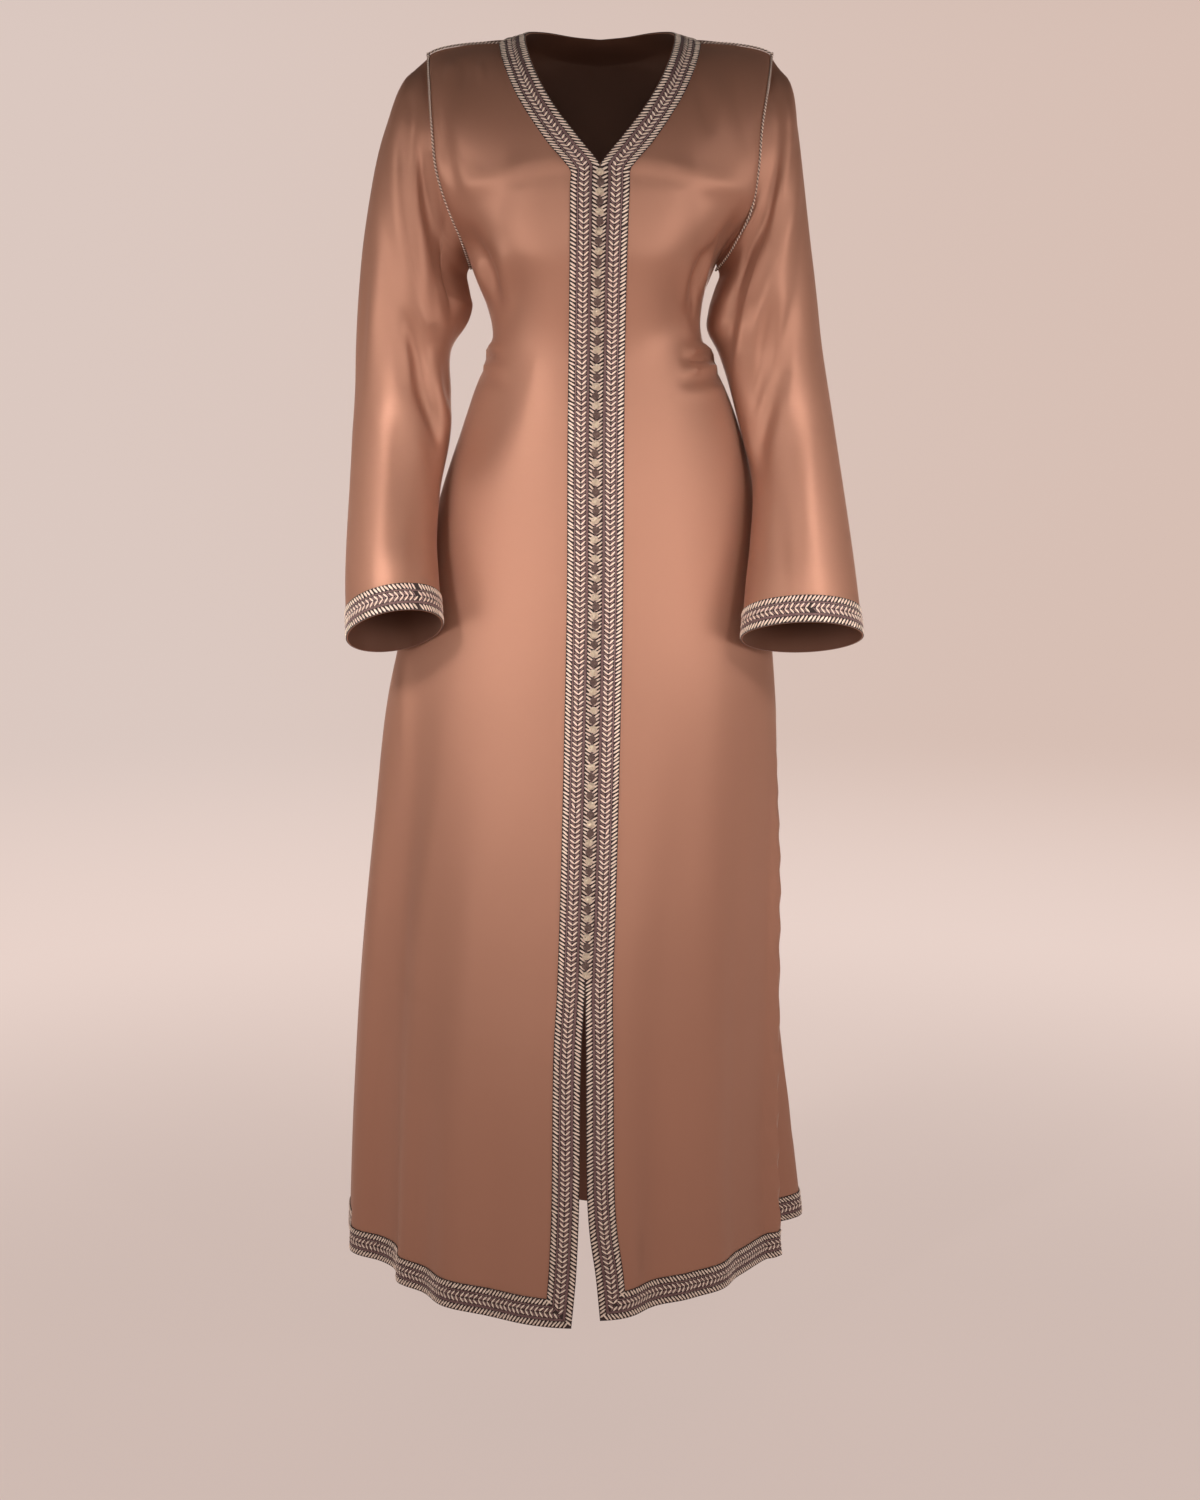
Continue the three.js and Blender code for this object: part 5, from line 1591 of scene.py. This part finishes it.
class KAFTAN_OT_buttons(bpy.types.Operator):
    """Add the pale knotted buttons and the dark knots between them"""

    bl_idname = "kaftan.buttons"
    bl_label = "Buttons"

    def execute(self, context):
        radius = context.scene.kaftan_trim.button_radius
        made = finishes()
        pitch = (BUTTON_TOP - BUTTON_BOTTOM) / (BUTTON_COUNT - 1)
        uneven = np.random.default_rng(11)
        knots = []
        for i in range(BUTTON_COUNT):
            z = BUTTON_TOP - i * pitch
            place, out = opening_at(z)
            sway = uneven.normal(0, KNOT_SWAY)
            centre = place + out * (BUTTON_LIFT + radius) + sway * X_AXIS
            tilt = uneven.uniform(-KNOT_TILT, KNOT_TILT)
            parts = knot_parts(centre, radius, *BUTTON_WINDING, tilt)
            node = f"button_{i + 1:02d}"
            settle(cord_object(node + "_knot", parts, made["button"]), "pale_knot", node)
            if i < BUTTON_COUNT - 1:
                place, out = opening_at(z - pitch / 2)
                sway = uneven.normal(0, KNOT_SWAY)
                centre = place + out * (DARK_LIFT + radius * DARK_SEAT) + sway * X_AXIS
                tilt = uneven.uniform(-KNOT_TILT, KNOT_TILT)
                knots.append(knot_parts(centre, radius * DARK_SIZE, *DARK_WINDING, tilt))
        places = []
        outs = []
        for z in np.arange(BUTTON_TOP - 1, BUTTON_BOTTOM, -CELL):
            place, out = opening_at(z)
            places.append(place + out * LOOP_CORD_LIFT)
            outs.append(out)
        cord = twisted_cord(np.array(places), np.array(outs), LOOP_CORD_RADIUS, LOOP_CORD_TWIST, False)
        parts = join_blocks([cord, *knots])
        piece = cord_object("loop_cord_knots", parts, made["knot"], made["mauve"])
        settle(piece, "dark_knot", "loop_cord")
        return {"FINISHED"}


# Stage

CAMERA_PLACE = (0.0, -2.9, -0.405)
CAMERA_PITCH = 7.93
FOCAL_PIXELS = 2512.0
PHOTO_HEIGHT = 1500.0
SENSOR = 36.0


def place_camera():
    """The camera at the photograph's height, distance and angle."""
    data = bpy.data.cameras.new("camera")
    data.lens = SENSOR * FOCAL_PIXELS / PHOTO_HEIGHT
    data.sensor_width = SENSOR
    camera = bpy.data.objects.new("camera", data)
    camera.location = CAMERA_PLACE
    camera.rotation_euler = (math.radians(90 - CAMERA_PITCH), 0, 0)
    bpy.context.scene.collection.objects.link(camera)
    bpy.context.scene.camera = camera


def faded(nodes, links, value, start, end):
    """A factor that runs softly from 0 to 1 while a value runs from start to end."""
    made = nodes.new("ShaderNodeMapRange")
    made.interpolation_type = "SMOOTHSTEP"
    made.inputs["From Min"].default_value = start
    made.inputs["From Max"].default_value = end
    links.new(value, made.inputs["Value"])
    return made.outputs["Result"]


def surround_tone(nodes, links, direction):
    """Tone of the surround in a level direction: pale behind the garment, and dimmer all round."""
    parts = nodes.new("ShaderNodeSeparateXYZ")
    links.new(direction, parts.inputs[0])
    across = faded(nodes, links, parts.outputs["X"], *BACKDROP_TURN)
    behind = mixed_colour(nodes, links, across, BACKDROP_LEFT, BACKDROP_RIGHT)
    tone = nodes.new("ShaderNodeMix")
    tone.data_type = "RGBA"
    tone.inputs[6].default_value = (*AROUND, 1)
    links.new(faded(nodes, links, parts.outputs["Y"], *BACKDROP_EDGE), tone.inputs[0])
    links.new(behind, tone.inputs[7])
    return tone.outputs[2]


def place_floor(level, colour):
    """A plain pale floor, which runs into the backdrop's tone further away."""
    deselect()
    place = (0, 0, level)
    bpy.ops.mesh.primitive_circle_add(vertices=96, radius=FLOOR_RADIUS, fill_type="NGON", location=place)
    floor = bpy.context.object
    floor.name = "floor"
    bpy.ops.object.transform_apply(location=True)
    material, shader, nodes, links = nodes_of("floor")
    shader.inputs["Base Color"].default_value = (*colour, 1)
    shader.inputs["Roughness"].default_value = 0.85
    shader.inputs["Specular IOR Level"].default_value = 0.2
    coords = nodes.new("ShaderNodeTexCoord")
    flat = nodes.new("ShaderNodeVectorMath")
    flat.operation = "MULTIPLY"
    flat.inputs[1].default_value = (1, 1, 0)
    links.new(coords.outputs["Object"], flat.inputs[0])
    length = nodes.new("ShaderNodeVectorMath")
    length.operation = "LENGTH"
    links.new(flat.outputs["Vector"], length.inputs[0])
    direction = nodes.new("ShaderNodeVectorMath")
    direction.operation = "NORMALIZE"
    links.new(flat.outputs["Vector"], direction.inputs[0])
    around = surround_tone(nodes, links, direction.outputs["Vector"])
    tone = nodes.new("ShaderNodeMix")
    tone.data_type = "RGBA"
    tone.inputs[6].default_value = (*BACKDROP_FLOOR, 1)
    links.new(faded(nodes, links, length.outputs["Value"], *FLOOR_TONE_FADE), tone.inputs[0])
    links.new(around, tone.inputs[7])
    glow = nodes.new("ShaderNodeEmission")
    links.new(tone.outputs[2], glow.inputs["Color"])
    mixed = nodes.new("ShaderNodeMixShader")
    share = faded(nodes, links, length.outputs["Value"], *FLOOR_GLOW_FADE)
    share.node.inputs["To Min"].default_value = FLOOR_GLOW
    links.new(share, mixed.inputs[0])
    links.new(shader.outputs[0], mixed.inputs[1])
    links.new(glow.outputs[0], mixed.inputs[2])
    links.new(mixed.outputs[0], nodes["Material Output"].inputs["Surface"])
    floor.data.materials.append(material)


# Tones of the surround: behind the garment on the left and the right, on the floor, all round and above
BACKDROP_LEFT = (0.71, 0.58, 0.53)
BACKDROP_RIGHT = (0.68, 0.52, 0.455)
BACKDROP_FLOOR = (0.81, 0.65, 0.59)
AROUND = (0.14, 0.115, 0.105)
OVERHEAD = (0.05, 0.043, 0.04)

# Where these tones run into each other: across, round and up, as parts of a direction of length one
BACKDROP_TURN = (-0.28, 0.28)
BACKDROP_EDGE = (0.55, 0.93)
OVERHEAD_EDGE = (0.12, 0.55)

# The floor in metres: its radius, where its tone runs into the backdrop's and where its own glow grows,
# and the least share of that glow
FLOOR_RADIUS = 40
FLOOR_TONE_FADE = (2.2, 6.0)
FLOOR_GLOW_FADE = (0.5, 2.6)
FLOOR_GLOW = 0.7

LIGHTS = [
    # name, place, point aimed at, width, height, beam, power, colour
    ("key", (-2.2, -1.95, -0.35), (0.0, 0.0, -0.35), 1.5, 0.9, 66, 3.75, (1.0, 0.97, 0.94)),
    ("fill", (2.2, -1.95, -0.35), (0.0, 0.0, -0.35), 1.5, 0.9, 66, 3.85, (1.0, 0.96, 0.93)),
    ("sleeve_left", (-1.5, -2.2, 1.0), (-0.32, -0.05, -0.58), 0.6, 0.4, 19, 0.9, (1.0, 0.97, 0.94)),
    ("sleeve_right", (1.5, -2.2, 1.0), (0.32, -0.05, -0.56), 0.6, 0.4, 19, 0.66, (1.0, 0.96, 0.93)),
    ("front", (0.0, -3.3, 0.0), (0.0, 0.0, -0.85), 1.4, 0.8, 40, 1.35, (1.0, 0.97, 0.94)),
    ("rear", (0.0, 3.6, -0.3), (0.0, 0.0, -0.35), 2.2, 2.0, 75, 9.0, (1.0, 0.96, 0.92)),
]


def place_lights(power):
    """Soft lights at the sides, on the sleeves, in front and behind. The surround is dark overhead."""
    scene = bpy.context.scene
    for name, place, target, width, height, beam, watts, colour in LIGHTS:
        data = bpy.data.lights.new(name, "AREA")
        data.shape = "RECTANGLE"
        data.size = width
        data.size_y = height
        data.energy = watts * power
        data.color = colour
        light = bpy.data.objects.new(name, data)
        light.location = place
        light.visible_camera = False
        data.spread = math.radians(beam)
        aim = np.array(target) - np.array(place)
        tip = math.atan2(math.hypot(aim[0], aim[1]), -aim[2])
        light.rotation_euler = (tip, 0, math.atan2(aim[1], aim[0]) - math.pi / 2)
        scene.collection.objects.link(light)
    world = bpy.data.worlds.new("surround")
    world.use_nodes = True
    nodes, links = world.node_tree.nodes, world.node_tree.links
    coords = nodes.new("ShaderNodeTexCoord")
    parts = nodes.new("ShaderNodeSeparateXYZ")
    links.new(coords.outputs["Generated"], parts.inputs[0])
    above = nodes.new("ShaderNodeMix")
    above.data_type = "RGBA"
    above.inputs[7].default_value = (*OVERHEAD, 1)
    links.new(faded(nodes, links, parts.outputs["Z"], *OVERHEAD_EDGE), above.inputs[0])
    links.new(surround_tone(nodes, links, coords.outputs["Generated"]), above.inputs[6])
    background = nodes["Background"]
    links.new(above.outputs[2], background.inputs["Color"])
    background.inputs["Strength"].default_value = power
    scene.world = world
    scene.view_settings.view_transform = "Standard"


class KAFTAN_PT_panel(bpy.types.Panel):
    """The garment's settings and the operators that build it"""

    bl_label = "Kaftan"
    bl_idname = "KAFTAN_PT_panel"
    bl_space_type = "VIEW_3D"
    bl_region_type = "UI"
    bl_category = "Kaftan"

    def draw(self, context):
        for group in ("kaftan_cloth", "kaftan_trim", "kaftan_stage"):
            settings = getattr(context.scene, group)
            box = self.layout.box()
            for name in settings.__annotations__:
                box.prop(settings, name)
        for operator in OPERATORS:
            self.layout.operator(operator.bl_idname)


GROUPS = (KaftanCloth, KaftanTrim, KaftanStage)
OPERATORS = (KAFTAN_OT_stage, KAFTAN_OT_cloth, KAFTAN_OT_braid, KAFTAN_OT_piping, KAFTAN_OT_buttons)


def register():
    for cls in (*GROUPS, *OPERATORS, KAFTAN_PT_panel):
        bpy.utils.register_class(cls)
    bpy.types.Scene.kaftan_cloth = bpy.props.PointerProperty(type=KaftanCloth)
    bpy.types.Scene.kaftan_trim = bpy.props.PointerProperty(type=KaftanTrim)
    bpy.types.Scene.kaftan_stage = bpy.props.PointerProperty(type=KaftanStage)


def unregister():
    del bpy.types.Scene.kaftan_cloth
    del bpy.types.Scene.kaftan_trim
    del bpy.types.Scene.kaftan_stage
    for cls in reversed((*GROUPS, *OPERATORS, KAFTAN_PT_panel)):
        bpy.utils.unregister_class(cls)


def main():
    """Builds the stage and the garment."""
    register()
    bpy.ops.kaftan.stage()
    bpy.ops.kaftan.cloth()
    bpy.ops.kaftan.braid()
    bpy.ops.kaftan.piping()
    bpy.ops.kaftan.buttons()
    bpy.context.view_layer.update()


if __name__ == "__main__":
    main()
